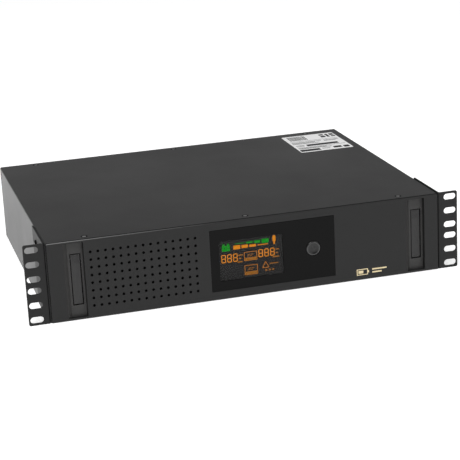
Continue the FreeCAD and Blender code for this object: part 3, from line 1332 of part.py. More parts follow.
def lead(points):
    """A round lead: straight runs joined by arcs that touch both runs."""
    path = [FreeCAD.Vector(*point) for point in points]
    edges = []
    start = path[0]
    for before, corner, after in zip(path, path[1:], path[2:]):
        arriving, leaving = corner - before, after - corner
        turn = arriving.getAngle(leaving)
        radius = ARC_SHARE * min(arriving.Length, leaving.Length) / math.tan(turn / 2)
        setback = radius * math.tan(turn / 2)
        first = corner - arriving.normalize() * setback
        last = corner + leaving.normalize() * setback
        inward = (leaving - arriving).normalize()
        middle = corner + inward * (radius / math.cos(turn / 2) - radius)
        edges.append(Part.LineSegment(start, first).toShape())
        edges.append(Part.Arc(first, middle, last).toShape())
        start = last
    edges.append(Part.LineSegment(start, path[-1]).toShape())
    direction = edges[0].tangentAt(edges[0].FirstParameter)
    section = Part.Wire([Part.Circle(path[0], direction, number("lead_radius")).toShape()])
    solid = Part.Wire(edges).makePipeShell([section], True, False)
    length = sum(edge.Length for edge in edges)
    expected = math.pi * number("lead_radius") ** 2 * length
    if abs(solid.Volume / expected - 1) > 0.01:
        raise ValueError(f"a lead's volume is {solid.Volume}, not {expected}")
    return solid


def boot(across, middle):
    """A push-on connector's sleeve round a battery tab, without the tab's own space."""
    rise = number(terminal_rise())
    width, length, height = number("boot_width"), number("boot_length"), number("boot_height")
    sleeve = Part.makeBox(width, length, height)
    sleeve.translate(FreeCAD.Vector(across - width / 2, middle - length / 2, rise - height / 2))
    tab_width = number("terminal_sheet")
    tab = Part.makeBox(tab_width, 2 * length, number("terminal_width"))
    tab.translate(FreeCAD.Vector(across - tab_width / 2, middle - length,
                                 rise - number("terminal_width") / 2))
    return sleeve.cut(tab)


def name_feature(label, shape):
    item = doc.addObject("Part::Feature", label)
    item.Shape = shape
    name_part(item, label)


def make_leads():
    """Battery leads and the display's cable, held along the whole of their routes."""
    top = number(terminal_rise()) + number("boot_height") / 2
    crest = number("lead_crest")
    middles = []
    for index, _, face in terminal_places():
        direction = 1 - 2 * index
        middles.append(number(face) + direction * (number("boot_length") / 2 + number("terminal_sheet")))
    left = number("battery_left + terminal_inset")
    right = number("battery_left + battery_length - terminal_inset")
    front, rear = middles[0], middles[-1]
    link = lead([(left, front, top), (left, front, crest), (left, rear, crest), (left, rear, top)])
    name_feature("battery_link_lead", link.fuse([boot(left, front), boot(left, rear)]).removeSplitter())
    board_top = number(BOARD_TOP)
    before_board = number("main_left - lead_before_board")
    onto_board = number("main_left + lead_onto_board")
    for label, middle in (("battery_lead_red", front), ("battery_lead_black", rear)):
        route = lead([
            (right, middle, top),
            (right, middle, crest),
            (before_board, middle + number("lead_first_shift"), crest),
            (onto_board, middle + number("lead_last_shift"), crest - number("lead_dip")),
            (onto_board, middle + number("lead_last_shift"), board_top),
        ])
        name_feature(label, route.fuse(boot(right, middle)).removeSplitter())
    board_back = number("rail + board_front + board_sheet")
    across, rise = number("board_left + lead_hole_inset"), number("button_rise")
    cable_end = across + number("cable_end_shift")
    cable_back = board_back + number("cable_end")
    name_feature("display_cable", lead([
        (across, board_back, rise),
        (across, board_back + number("cable_first"), rise),
        (across + number("cable_shift"), board_back + number("cable_second"), rise - number("cable_drop")),
        (cable_end, cable_back, rise - number("cable_end_drop")),
        (cable_end, cable_back, board_top),
    ]))


# ---- build, check and write ----

make_base_tray()
make_front_bulkhead()
make_top_cover()
make_cover_screws()
make_side_screws()
make_rack_ear("rack_ear_left", -1)
make_rack_ear("rack_ear_right", 1)
make_ear_screws()
make_front_bezel()
make_latch_lever("latch_lever_left", "channel_left")
make_latch_lever("latch_lever_right", "channel_right")
make_latch_pins()
make_latch_springs()
make_dust_filter()
make_display_window()
make_power_button()
make_button_spring()
make_tact_switch()
make_lcd()
make_display_board()
make_batteries()
make_battery_terminals()
make_battery_pads()
make_battery_clamps()
make_transformer()
make_bracket_screws()
make_main_board()
make_insulation_sheet()
make_board_standoffs()
make_board_screws()
make_heat_sinks()
make_power_transistors()
make_capacitors()
make_relays()
make_choke()
make_terminal_block()
make_fuses()
make_fan_housing()
make_fan_motor()
make_fan_rotor()
make_mains_inlet()
make_outlet_sockets()
make_breaker()
make_earth_stud()
make_card_cover()
make_rear_screws()
make_ports()
make_rating_label()
make_leads()
doc.recompute()

for item in doc.Objects:
    if "Invalid" in item.State or "Error" in item.State:
        raise ValueError(f"{item.Label} is {item.State}")
for item in sub_parts:
    if item.Shape.isNull() or not item.Shape.isValid():
        raise ValueError(f"{item.Label} has no valid shape")
for item in sub_parts:
    item.Shape.exportStep(f"parts/{item.Label}.step")
print(f"{len(sub_parts)} sub-parts written")
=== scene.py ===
"""Looks for a rack-mount uninterruptible power supply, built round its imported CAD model.

Pieces are drawn in millimetres, in the CAD model's own frame, and scaled to metres when they are finished.
"""
import bmesh
import bpy
import json
import math
import random
from mathutils import Matrix, Vector

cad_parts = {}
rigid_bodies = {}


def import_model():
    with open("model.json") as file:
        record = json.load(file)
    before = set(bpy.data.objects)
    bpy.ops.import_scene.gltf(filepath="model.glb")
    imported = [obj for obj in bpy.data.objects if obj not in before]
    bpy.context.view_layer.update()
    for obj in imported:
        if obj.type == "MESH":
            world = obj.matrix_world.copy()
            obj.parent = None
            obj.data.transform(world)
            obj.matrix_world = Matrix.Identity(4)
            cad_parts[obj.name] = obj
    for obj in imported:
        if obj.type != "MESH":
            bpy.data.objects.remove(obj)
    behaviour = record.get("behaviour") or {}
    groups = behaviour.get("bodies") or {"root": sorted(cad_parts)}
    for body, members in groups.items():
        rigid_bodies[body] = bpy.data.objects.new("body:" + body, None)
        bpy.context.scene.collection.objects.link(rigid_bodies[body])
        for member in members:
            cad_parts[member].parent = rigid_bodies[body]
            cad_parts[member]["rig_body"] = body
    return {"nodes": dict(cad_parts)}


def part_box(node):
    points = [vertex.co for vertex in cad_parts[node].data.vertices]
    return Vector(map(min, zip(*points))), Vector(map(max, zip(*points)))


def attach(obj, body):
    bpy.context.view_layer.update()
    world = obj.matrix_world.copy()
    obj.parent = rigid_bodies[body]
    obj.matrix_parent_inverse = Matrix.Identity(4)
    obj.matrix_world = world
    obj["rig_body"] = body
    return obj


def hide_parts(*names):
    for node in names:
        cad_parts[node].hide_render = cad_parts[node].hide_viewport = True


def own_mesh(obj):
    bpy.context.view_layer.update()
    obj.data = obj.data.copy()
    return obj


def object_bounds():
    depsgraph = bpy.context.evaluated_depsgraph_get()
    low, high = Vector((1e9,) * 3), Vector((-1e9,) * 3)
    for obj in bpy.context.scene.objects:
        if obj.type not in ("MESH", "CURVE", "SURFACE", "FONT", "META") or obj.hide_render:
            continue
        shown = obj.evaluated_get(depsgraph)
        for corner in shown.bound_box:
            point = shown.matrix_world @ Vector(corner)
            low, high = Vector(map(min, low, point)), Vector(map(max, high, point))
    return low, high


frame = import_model()
cad_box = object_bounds()

MM = 0.001
WELD = 1e-6
FLAT = math.radians(0.5)
CREASE = math.radians(38)
SMOOTH = math.radians(42)
AXES = {
    "x": (Vector((1, 0, 0)), Vector((0, 1, 0)), Vector((0, 0, 1))),
    "y": (Vector((0, 1, 0)), Vector((0, 0, 1)), Vector((1, 0, 0))),
    "z": (Vector((0, 0, 1)), Vector((1, 0, 0)), Vector((0, 1, 0))),
}
UP, BACK = AXES["z"][0], AXES["y"][0]
rng = random.Random(7)


# ---- places, from the CAD model ----

def node(name):
    return frame["nodes"][name]


def corners(points):
    low = Vector((min(p[i] for p in points) for i in range(3)))
    high = Vector((max(p[i] for p in points) for i in range(3)))
    return low, high


def span(name):
    """A node's lowest and highest corners, in millimetres."""
    low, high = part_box(name)
    return low / MM, high / MM


def middle(box):
    return (box[0] + box[1]) / 2


def solids(name):
    """The boxes of a node's separate solids, in millimetres, sorted by place."""
    bm = bmesh.new()
    bm.from_mesh(node(name).data)
    bmesh.ops.remove_doubles(bm, verts=bm.verts, dist=WELD)
    waiting = set(bm.verts)
    found = []
    while waiting:
        stack = [waiting.pop()]
        island = []
        while stack:
            vert = stack.pop()
            island.append(vert.co / MM)
            for edge in vert.link_edges:
                other = edge.other_vert(vert)
                if other in waiting:
                    waiting.remove(other)
                    stack.append(other)
        found.append(corners(island))
    bm.free()
    return sorted(found, key=lambda box: tuple(round(value) for value in box[0]))


# ---- mesh helpers ----

def block(bm, low, high, rounding=0.3, segments=2):
    """A block with rounded edges, from its lowest to its highest corner."""
    verts = bmesh.ops.create_cube(bm, size=1.0)["verts"]
    low, high = Vector(low), Vector(high)
    size = high - low
    centre = (low + high) / 2
    for vert in verts:
        vert.co = Vector(vert.co[i] * size[i] + centre[i] for i in range(3))
    if rounding:
        edges = list({edge for vert in verts for edge in vert.link_edges})
        bmesh.ops.bevel(bm, geom=edges, offset=rounding, segments=segments, profile=0.5, affect="EDGES")


def turned(bm, profile, centre, axis="z", steps=40):
    """A turned shape from (radius, distance) pairs along an axis through centre."""
    along, across, up = AXES[axis]
    centre = Vector(centre)
    rings = []
    for radius, distance in profile:
        start = centre + along * distance
        if radius == 0:
            rings.append([bm.verts.new(start)])
            continue
        ring = []
        for step in range(steps):
            angle = math.tau * step / steps
            ring.append(bm.verts.new(start + (across * math.cos(angle) + up * math.sin(angle)) * radius))
        rings.append(ring)
    for first, second in zip(rings, rings[1:]):
        for step in range(steps):
            corner = [first[step % len(first)], first[(step + 1) % len(first)],
                      second[(step + 1) % len(second)], second[step % len(second)]]
            distinct = list(dict.fromkeys(corner))
            if len(distinct) > 2:
                bm.faces.new(distinct)


def rod(bm, radius, start, end, centre, axis="z", steps=40):
    """A plain cylinder between two distances along an axis through centre."""
    turned(bm, [(0, start), (radius, start), (radius, end), (0, end)], centre, axis, steps)


def point_on(axis, u, v, distance):
    """A point from its two places across an axis and its distance along it."""
    if axis == "x":
        return Vector((distance, u, v))
    if axis == "y":
        return Vector((u, distance, v))
    return Vector((u, v, distance))


def prism(bm, outline, start, end, axis="y", rounding=0.0, segments=1):
    """An outline carried along an axis, with its rims rounded."""
    lower = [bm.verts.new(point_on(axis, u, v, start)) for u, v in outline]
    upper = [bm.verts.new(point_on(axis, u, v, end)) for u, v in outline]
    faces = [bm.faces.new(lower), bm.faces.new(upper)]
    count = len(outline)
    for index in range(count):
        following = (index + 1) % count
        bm.faces.new((lower[index], lower[following], upper[following], upper[index]))
    if rounding:
        rims = [edge for face in faces for edge in face.edges]
        bmesh.ops.bevel(bm, geom=rims, offset=rounding, segments=segments, profile=0.5, affect="EDGES")


def rounded(left, low, right, high, radius, steps=5):
    """An outline of a rectangle with round corners."""
    points = []
    places = ((right - radius, low + radius, -90), (right - radius, high - radius, 0),
              (left + radius, high - radius, 90), (left + radius, low + radius, 180))
    for u, v, start in places:
        for step in range(steps + 1):
            angle = math.radians(start + 90 * step / steps)
            points.append((u + radius * math.cos(angle), v + radius * math.sin(angle)))
    return points


def ring_outline(u, v, radius, count=32, turn=0.0):
    return [(u + radius * math.cos(turn + math.tau * step / count),
             v + radius * math.sin(turn + math.tau * step / count)) for step in range(count)]


def pipe(bm, path, radius, steps=8, closed=False):
    """A round wire along a path."""
    points = [Vector(point) for point in path]
    count = len(points)
    side = None
    rings = []
    for index, point in enumerate(points):
        before = points[index - 1] if closed or index else point
        after = points[(index + 1) % count] if closed or index < count - 1 else point
        ahead = (after - before).normalized()
        if side is None:
            side = ahead.orthogonal().normalized()
        side = (side - ahead * side.dot(ahead)).normalized()
        up = ahead.cross(side)
        rings.append([bm.verts.new(point + (side * math.cos(math.tau * step / steps)
                                            + up * math.sin(math.tau * step / steps)) * radius)
                      for step in range(steps)])
    pairs = list(zip(rings, rings[1:]))
    if closed:
        pairs.append((rings[-1], rings[0]))
    else:
        bm.faces.new(rings[0])
        bm.faces.new(rings[-1])
    for first, second in pairs:
        for step in range(steps):
            following = (step + 1) % steps
            bm.faces.new((first[step], first[following], second[following], second[step]))


def coil(bm, centre, axis, radius, wire, start, end, turns, steps=20):
    """A wire wound round an axis, with its end turns closed."""
    along, across, up = AXES[axis]
    count = int(turns * steps)
    path = []
    for step in range(count + 1):
        share = step / count
        eased = min(1.0, max(0.0, (share * turns - 0.75) / (turns - 1.5))) if turns > 2 else share
        angle = math.tau * turns * share
        distance = start + wire + (end - start - 2 * wire) * eased
        path.append(Vector(centre) + along * distance
                    + (across * math.cos(angle) + up * math.sin(angle)) * radius)
    pipe(bm, path, wire)


def as_mesh(bm, name):
    mesh = bpy.data.meshes.new(name)
    bm.to_mesh(mesh)
    bm.free()
    return mesh


def linked(name, data):
    """A new object in the scene that holds the given data."""
    item = bpy.data.objects.new(name, data)
    bpy.context.scene.collection.objects.link(item)
    return item


def as_object(bm, name):
    bmesh.ops.recalc_face_normals(bm, faces=bm.faces)
    return linked(name, as_mesh(bm, name))


def pour(whole, bm):
    """Add one mesh to another."""
    scratch = as_mesh(bm, "part")
    whole.from_mesh(scratch)
    bpy.data.meshes.remove(scratch)


def carved(bm, cutter):
    """What is left of a mesh when another is taken from it."""
    base = as_object(bm, "carve_base")
    tool = as_object(cutter, "carve_tool")
    change = base.modifiers.new("Carve", "BOOLEAN")
    change.operation = "DIFFERENCE"
    change.solver = "EXACT"
    change.object = tool
    bpy.context.view_layer.update()
    result = bmesh.new()
    result.from_mesh(base.evaluated_get(bpy.context.evaluated_depsgraph_get()).to_mesh())
    for item in (base, tool):
        mesh = item.data
        bpy.data.objects.remove(item)
        bpy.data.meshes.remove(mesh)
    return result


def creases(bm, angle=CREASE):
    return [edge for edge in bm.edges if edge.is_manifold and edge.calc_face_angle(0) > angle]


def soften(bm, rounding, segments=2, edges=None):
    """Round a mesh's sharp edges."""
    chosen = creases(bm) if edges is None else edges
    bmesh.ops.bevel(bm, geom=chosen, offset=rounding, segments=segments, profile=0.5, affect="EDGES",
                    clamp_overlap=False)


def outline_of(name):
    """A node's own shape in millimetres, with its flat faces merged."""
    bm = bmesh.new()
    bm.from_mesh(node(name).data)
    bmesh.ops.remove_doubles(bm, verts=bm.verts, dist=WELD)
    bmesh.ops.scale(bm, vec=(1 / MM,) * 3, verts=bm.verts)
    bmesh.ops.dissolve_limit(bm, angle_limit=FLAT, verts=bm.verts, edges=bm.edges)
    return bm


def refined(name, rounding, segments=2):
    """A node's own shape with its sharp edges rounded."""
    bm = outline_of(name)
    soften(bm, rounding, segments)
    return bm


def piece(name, parts, cad_nodes):
    """Join (mesh, material) parts into one piece that rides with its CAD node's body, and hide the CAD nodes.

    A face's own material index counts on from its part's place, and a part with no faces may bring a
    material for such faces.
    """
    first = node(cad_nodes[0])
    whole = bmesh.new()
    for index, (bm, _) in enumerate(parts):
        bmesh.ops.recalc_face_normals(bm, faces=bm.faces)
        for face in bm.faces:
            face.material_index += index
        pour(whole, bm)
    bmesh.ops.scale(whole, vec=(MM,) * 3, verts=whole.verts)
    mesh = as_mesh(whole, name)
    mesh.shade_smooth()
    mesh.set_sharp_from_angle(angle=SMOOTH)
    for _, material in parts:
        mesh.materials.append(material)
    item = linked(name, mesh)
    item.modifiers.new("Normals", "WEIGHTED_NORMAL").keep_sharp = True
    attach(item, first["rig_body"])
    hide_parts(*cad_nodes)
    return item


def own_piece(name, bm, cad_node):
    """A piece of one mesh in its CAD node's own finish."""
    return piece(name, [(bm, own(cad_node))], [cad_node])


for cad_node in frame["nodes"].values():
    cad_node["slot"] = cad_node.data.materials[0].name


# ---- materials ----

FINISHES = {}
FINE_SHARE, BROAD_SHARE = 0.4, 0.6


def shade(level):
    """A grey from its share of white as a screen shows it."""
    return (level / 255) ** 2.2


def new_node(nodes, kind, settings=None):
    """A shader node with some of its inputs set, by name or by place."""
    made = nodes.new(f"ShaderNode{kind}")
    for socket, value in (settings or {}).items():
        made.inputs[socket].default_value = value
    return made


def finish(name, colour, roughness, metallic=0.0, grain=900, relief=0.04, mottle=0.12, specular=0.5,
           stretch=(1, 1, 1), glow=None, patches=14, uneven=0.08):
    """A procedural material, kept under its name: grain, uneven gloss and slight changes of tone."""
    if isinstance(colour, (int, float)):
        colour = (shade(colour),) * 3
    material = bpy.data.materials.new(name)
    material.use_nodes = True
    nodes, links = material.node_tree.nodes, material.node_tree.links
    surface = nodes["Principled BSDF"]
    surface.inputs["Metallic"].default_value = metallic
    surface.inputs["Specular IOR Level"].default_value = specular
    place = new_node(nodes, "TexCoord")
    spread = new_node(nodes, "Mapping", {"Scale": stretch})
    links.new(place.outputs["Object"], spread.inputs["Vector"])
    fine = new_node(nodes, "TexNoise", {"Scale": grain, "Detail": 2})
    broad = new_node(nodes, "TexNoise", {"Scale": patches, "Detail": 4})
    for noise in (fine, broad):
        links.new(spread.outputs["Vector"], noise.inputs["Vector"])
    bump = new_node(nodes, "Bump", {"Strength": 1.0, "Distance": relief * MM})
    links.new(fine.outputs["Fac"], bump.inputs["Height"])
    links.new(bump.outputs["Normal"], surface.inputs["Normal"])
    scaled = new_node(nodes, "Math", {1: BROAD_SHARE})
    scaled.operation = "MULTIPLY"
    links.new(broad.outputs["Fac"], scaled.inputs[0])
    both = new_node(nodes, "Math", {1: FINE_SHARE})
    both.operation = "MULTIPLY_ADD"
    links.new(fine.outputs["Fac"], both.inputs[0])
    links.new(scaled.outputs["Value"], both.inputs[2])
    tone = new_node(nodes, "Mix")
    tone.data_type = "RGBA"
    links.new(both.outputs["Value"], tone.inputs["Factor"])
    tone.inputs["A"].default_value = [channel * (1 - mottle) for channel in colour] + [1]
    tone.inputs["B"].default_value = [min(1, channel * (1 + mottle)) for channel in colour] + [1]
    links.new(tone.outputs["Result"], surface.inputs["Base Color"])
    gloss = new_node(nodes, "MapRange", {"To Min": max(0, roughness - uneven),
                                         "To Max": min(1, roughness + uneven)})
    links.new(broad.outputs["Fac"], gloss.inputs["Value"])
    links.new(gloss.outputs["Result"], surface.inputs["Roughness"])
    if glow:
        surface.inputs["Emission Color"].default_value = list(colour) + [1]
        surface.inputs["Emission Strength"].default_value = glow
    FINISHES[name] = material
    return material


def lit_plastic(name, colour, glow):
    """A glowing colour of the display."""
    return finish(name, colour, 0.4, grain=400, relief=0.001, mottle=0.05, glow=glow)


def clear_plastic():
    """The smoked clear area of the display's window: the same plastic, mostly see-through."""
    material = finish("clear_window", 12, 0.1, grain=40, relief=0.0, mottle=0.02, specular=0.12, uneven=0.03)
    material.node_tree.nodes["Principled BSDF"].inputs["Alpha"].default_value = 0.4
    return material


def rim_highlight_paint():
    """A painted highlight for the bezel's upper rim: bright at its left end and fading towards the middle."""
    material = finish("painted_rim_highlight", 30, 0.3, grain=2600, relief=0.01, specular=0.5)
    nodes, links = material.node_tree.nodes, material.node_tree.links
    place = new_node(nodes, "TexCoord")
    parts = new_node(nodes, "SeparateXYZ")
    links.new(place.outputs["Object"], parts.inputs["Vector"])
    fade = new_node(nodes, "MapRange", {"From Min": -0.21, "From Max": -0.03, "To Min": 0.13,
                                        "To Max": 0.012})
    links.new(parts.outputs["X"], fade.inputs["Value"])
    links.new(fade.outputs["Result"], nodes["Principled BSDF"].inputs["Base Color"])
    return material


finish("powder_coat", 20, 0.36, grain=1500, relief=0.018, specular=0.42, patches=9)
finish("zinc_steel", 186, 0.36, 1.0, grain=260, relief=0.01, mottle=0.14, patches=60)
finish("black_screws", 10, 0.6, grain=2400, relief=0.008, specular=0.12)
finish("plated_screws", 190, 0.26, 1.0, grain=2000, relief=0.006)
finish("bezel_plastic", 28, 0.5, grain=2600, relief=0.02, specular=0.34, patches=11)
finish("latch_plastic", (0.024, 0.0235, 0.0235), 0.5, grain=2600, relief=0.02, specular=0.4)
finish("window_plastic", 12, 0.1, grain=40, relief=0.002, specular=0.12, uneven=0.03)
finish("button_plastic", 14, 0.3, grain=3000, relief=0.004, specular=0.5, uneven=0.04)
finish("spring_steel", 170, 0.25, 1.0, grain=3000, relief=0.004)
finish("filter_foam", 34, 0.95, grain=700, relief=0.8, mottle=0.5, specular=0.1)
finish("lcd_glass", 50, 0.6, grain=300, relief=0.001, mottle=0.05, specular=0.05, glow=1.5)
finish("frame_plastic", 214, 0.5, grain=1600, relief=0.01, mottle=0.04)
finish("board_green", (0.012, 0.11, 0.035), 0.32, grain=420, relief=0.02, mottle=0.35)
finish("switch_plastic", 40, 0.4, grain=2400)
finish("battery_case", 42, 0.44, grain=1500, relief=0.03)
finish("terminal_tin", 205, 0.22, 1.0, grain=1800, relief=0.004)
finish("core_steel", 92, 0.5, 0.7, grain=240, relief=0.12, mottle=0.3, stretch=(0.06, 6, 0.06))
finish("coil_tape", (0.62, 0.43, 0.06), 0.35, grain=150, relief=0.05, mottle=0.2)
finish("brass_post", (0.7, 0.47, 0.16), 0.24, 1.0, grain=1500, relief=0.004)
finish("insulator", 190, 0.4, grain=500, relief=0.01, mottle=0.05)
finish("sink_alloy", 198, 0.33, 1.0, grain=500, relief=0.02, stretch=(8, 8, 0.2))
finish("chip_plastic", 36, 0.6, grain=1800, relief=0.02)
finish("capacitor_can", (0.012, 0.02, 0.08), 0.3, grain=600, relief=0.01)
finish("relay_plastic", (0.02, 0.08, 0.3), 0.4, grain=900, relief=0.01)
finish("choke_core", (0.5, 0.36, 0.05), 0.5, grain=900, relief=0.03)
finish("block_plastic", (0.02, 0.2, 0.07), 0.42, grain=1500, relief=0.01)
finish("fuse_glass", (0.72, 0.7, 0.62), 0.2, grain=500, relief=0.004)
finish("fan_plastic", 32, 0.42, grain=1600, relief=0.02)
finish("motor_steel", 150, 0.4, 0.9, grain=700, relief=0.02)
finish("socket_plastic", 30, 0.48, grain=2000, relief=0.02, specular=0.4)
finish("brass_pin", (0.76, 0.55, 0.24), 0.25, 1.0, grain=1500, relief=0.004)
finish("reset_plastic", 44, 0.36, grain=2200, relief=0.01)
finish("port_metal", 196, 0.28, 1.0, grain=1200, relief=0.006)
finish("label_paper", 253, 0.55, grain=1800, relief=0.006, mottle=0.015, patches=30)
finish("lead_red", (0.5, 0.015, 0.012), 0.38, grain=500, relief=0.02)
finish("lead_black", 38, 0.42, grain=500, relief=0.02)
ink = finish("black_ink", 22, 0.5, grain=1600, relief=0.004, mottle=0.2)
cream_ink = finish("cream_ink", (0.72, 0.6, 0.36), 0.42, grain=2200, relief=0.004, mottle=0.06)
white_ink = finish("white_ink", 215, 0.5, grain=1800, relief=0.004, mottle=0.04)
amber_light = lit_plastic("amber_light", (0.8, 0.27, 0.006), 1.7)
digit_light = lit_plastic("digit_light", (0.8, 0.27, 0.006), 3.0)
green_light = lit_plastic("green_light", (0.002, 0.4, 0.012), 1.2)
dim_amber = lit_plastic("dim_amber", (0.45, 0.17, 0.012), 1.2)
channel_plastic = finish("channel_plastic", (0.029, 0.0283, 0.0276), 0.52, grain=2600, relief=0.02,
                         specular=0.4)
ear_coat = finish("ear_coat", 22, 0.55, grain=1500, relief=0.018, specular=0.36, patches=9)
# The bezel rim's painted highlight, brighter towards the left end.
painted_rim_highlight = rim_highlight_paint()
recess_steel = finish("recess_steel", 150, 0.4, 0.8, grain=2000, relief=0.006)
button_rim = finish("button_rim", 22, 0.2, grain=3000, relief=0.002, specular=0.8, uneven=0.03)
copper = finish("copper", (0.82, 0.4, 0.22), 0.24, 1.0, grain=1400, relief=0.008)
# Near-black for painted shade in bores, openings, gaps, seams and the depths of the jacks.
painted_shade_black = finish("painted_shade_black", 9, 0.7, grain=1400, relief=0.01, specular=0.1)

for cad_node in frame["nodes"].values():
    cad_node.data.materials.clear()
    cad_node.data.materials.append(FINISHES[cad_node["slot"]])


def own(name):
    return FINISHES[node(name)["slot"]]


# ---- sheet metal ----

for name, rounding in (("base_tray", 0.25), ("front_bulkhead", 0.2), ("rack_ear_left", 0.35),
                       ("rack_ear_right", 0.35), ("battery_clamps", 0.35), ("transformer_bracket", 0.4),
                       ("card_cover", 0.3), ("insulation_sheet", 0.05)):
    coat = ear_coat if name.startswith("rack_ear") else own(name)
    piece(f"{name}_shape", [(refined(name, rounding), coat)], [name])


def cover_shape():
    """The cover, with wide bends where its top folds into its sides."""
    bm = outline_of("top_cover")
    low, high = span("top_cover")
    bend_radius, edge_radius = 1.6, 0.22
    outer = []
    for edge in creases(bm):
        first, last = (vert.co for vert in edge.verts)
        level = abs(first.z - high.z) < 0.01 and abs(last.z - high.z) < 0.01
        side = min(abs(first.x - low.x) + abs(last.x - low.x), abs(first.x - high.x) + abs(last.x - high.x))
        if level and side < 0.01:
            outer.append(edge)
    soften(bm, bend_radius, 5, outer)
    soften(bm, edge_radius)
    return bm


own_piece("cover_shape", cover_shape(), "top_cover")


# ---- screws ----

SQUARE = ((-1, -1), (1, -1), (1, 1), (-1, 1))


def cross_cutter(width, reach, depth):
    """The tapered cross of a screwdriver's recess, sunk below the origin."""
    bm = bmesh.new()
    above, taper = 0.5, 0.55
    for across, along in ((width, reach), (reach, width)):
        top = [bm.verts.new((x * across, y * along, above)) for x, y in SQUARE]
        low = [bm.verts.new((x * across * taper, y * along * taper, -depth)) for x, y in SQUARE]
        bm.faces.new(top)
        bm.faces.new(low)
        for index in range(4):
            following = (index + 1) % 4
            bm.faces.new((top[index], top[following], low[following], low[index]))
    return bm


def screw_template(profile, width, reach, depth):
    """A screw that points down from the origin, with a cross recess at its top."""
    bm = bmesh.new()
    turned(bm, profile, (0, 0, 0))
    bm = carved(bm, cross_cutter(width, reach, depth))
    for face in bm.faces:
        centre = face.calc_center_median()
        if centre.z > -depth - 0.1 and centre.xy.length < reach * 1.05:
            face.material_index = 1
    return as_mesh(bm, "screw_template")


def place_copy(bm, mesh, position, direction, turn=0.0):
    """Add a template so that its +Z points along a direction."""
    before = len(bm.verts)
    bm.from_mesh(mesh)
    bm.verts.ensure_lookup_table()
    matrix = (Matrix.Translation(position) @ Vector(direction).to_track_quat("Z", "Y").to_matrix().to_4x4()
              @ Matrix.Rotation(turn, 4, "Z"))
    bmesh.ops.transform(bm, matrix=matrix, verts=bm.verts[before:])


def head_end(box, direction):
    """The middle of a box's face on the side that a direction points to."""
    half = (box[1] - box[0]) / 2
    return middle(box) + Vector(component * size for component, size in zip(direction, half))


COUNTERSUNK = screw_template([(0, -0.12), (1.9, -0.1), (2.1, 0), (3.55, 0), (3.68, -0.12), (2.5, -1.2),
                              (1.9, -1.22), (1.9, -4.3), (1.7, -4.5), (0, -4.5)], 0.5, 1.9, 1.2)


def pan_template(length):
    """A pan-head screw of a given whole length."""
    return screw_template([(0, 0), (1.6, -0.04), (2.7, -0.32), (3.4, -0.95), (3.6, -1.5), (3.6, -2.2),
                           (1.9, -2.2), (1.9, 0.2 - length), (1.7, -length), (0, -length)], 0.5, 1.9, 1.3)


PAN = pan_template(6.7)
SMALL_PAN = screw_template([(0, 0), (1.3, -0.05), (2.2, -0.35), (2.6, -0.9), (2.6, -1.6), (1.4, -1.6),
                            (1.4, -6.4), (1.25, -6.6), (0, -6.6)], 0.38, 1.4, 1.0)


def thumbscrew_template():
    """A knurled knob with a chamfered rim and a driver slot."""
    bm = bmesh.new()
    teeth, outer, inner, depth, shoulder = 36, 4.2, 3.95, 6.0, -0.5
    outline = []
    for step in range(teeth * 2):
        radius = outer if step % 2 else inner
        angle = math.tau * step / (teeth * 2)
        outline.append((radius * math.cos(angle), radius * math.sin(angle)))
    prism(bm, outline, -depth, shoulder, "z", 0.12)
    turned(bm, [(0, 0), (3.1, 0), (3.6, shoulder), (0, shoulder)], (0, 0, 0))
    rod(bm, 1.9, -depth, -8.4, (0, 0, 0))
    slot = bmesh.new()
    block(slot, (-5, -0.6, -1.3), (5, 0.6, 1), 0)
    return as_mesh(carved(bm, slot), "thumbscrew")


THUMB = thumbscrew_template()


def screws(name, choose):
    """Build a node's screws: choose gives each solid's template and direction."""
    bm = bmesh.new()
    for box in solids(name):
        mesh, direction = choose(box)
        place_copy(bm, mesh, head_end(box, direction), direction, rng.uniform(0, math.tau))
    piece(f"{name}_shape", [(bm, own(name)), (bmesh.new(), recess_steel)], [name])


def outward(box):
    return Vector((math.copysign(1, middle(box).x), 0, 0))


def rear_choice(box):
    """A thumbscrew, a pan head or a small pan head, from how wide the solid is."""
    width = box[1].x - box[0].x
    return (THUMB if width > 8 else PAN if width > 6 else SMALL_PAN), BACK


def board_choice(box):
    """A screw that stands up from a flat board, or one that faces the front on an upright board."""
    size = box[1] - box[0]
    return SMALL_PAN, UP if size.z > size.y else -BACK


screws("cover_screws", lambda box: (COUNTERSUNK, UP))
screws("side_screws", lambda box: (COUNTERSUNK, outward(box)))
screws("ear_screws", lambda box: (PAN, outward(box)))
screws("bracket_screws", lambda box: (pan_template(box[1].z - box[0].z), UP))
screws("rear_screws", rear_choice)
screws("board_screws", board_choice)


# ---- bezel, its latches, filter and springs ----

def hollow(bm, left, low, right, high, stroke, front, back):
    """A flat rectangular outline, standing across Y."""
    block(bm, (left, front, low), (right, back, low + stroke), 0)
    block(bm, (left, front, high - stroke), (right, back, high), 0)
    block(bm, (left, front, low + stroke), (left + stroke, back, high - stroke), 0)
    block(bm, (right - stroke, front, low + stroke), (right, back, high - stroke), 0)


def bezel_mark(front, left, low):
    """A plain battery sign and two bars, printed at the bezel's lower right."""
    bm = bmesh.new()
    near, far = front - 0.05, front + 0.05
    hollow(bm, left, low, left + 13, low + 7, 0.9, near, far)
    for start, end, bottom, top in ((13, 14.2, 2.2, 4.8), (1.9, 7.6, 1.9, 5.1), (18, 35, 4.6, 6.2),
                                    (18, 29, 1.2, 2.8)):
        block(bm, (left + start, near, low + bottom), (left + end, far, low + top), 0)
    return bm


window_low = span("display_window")[0]
bezel_low, bezel_high = span("front_bezel")


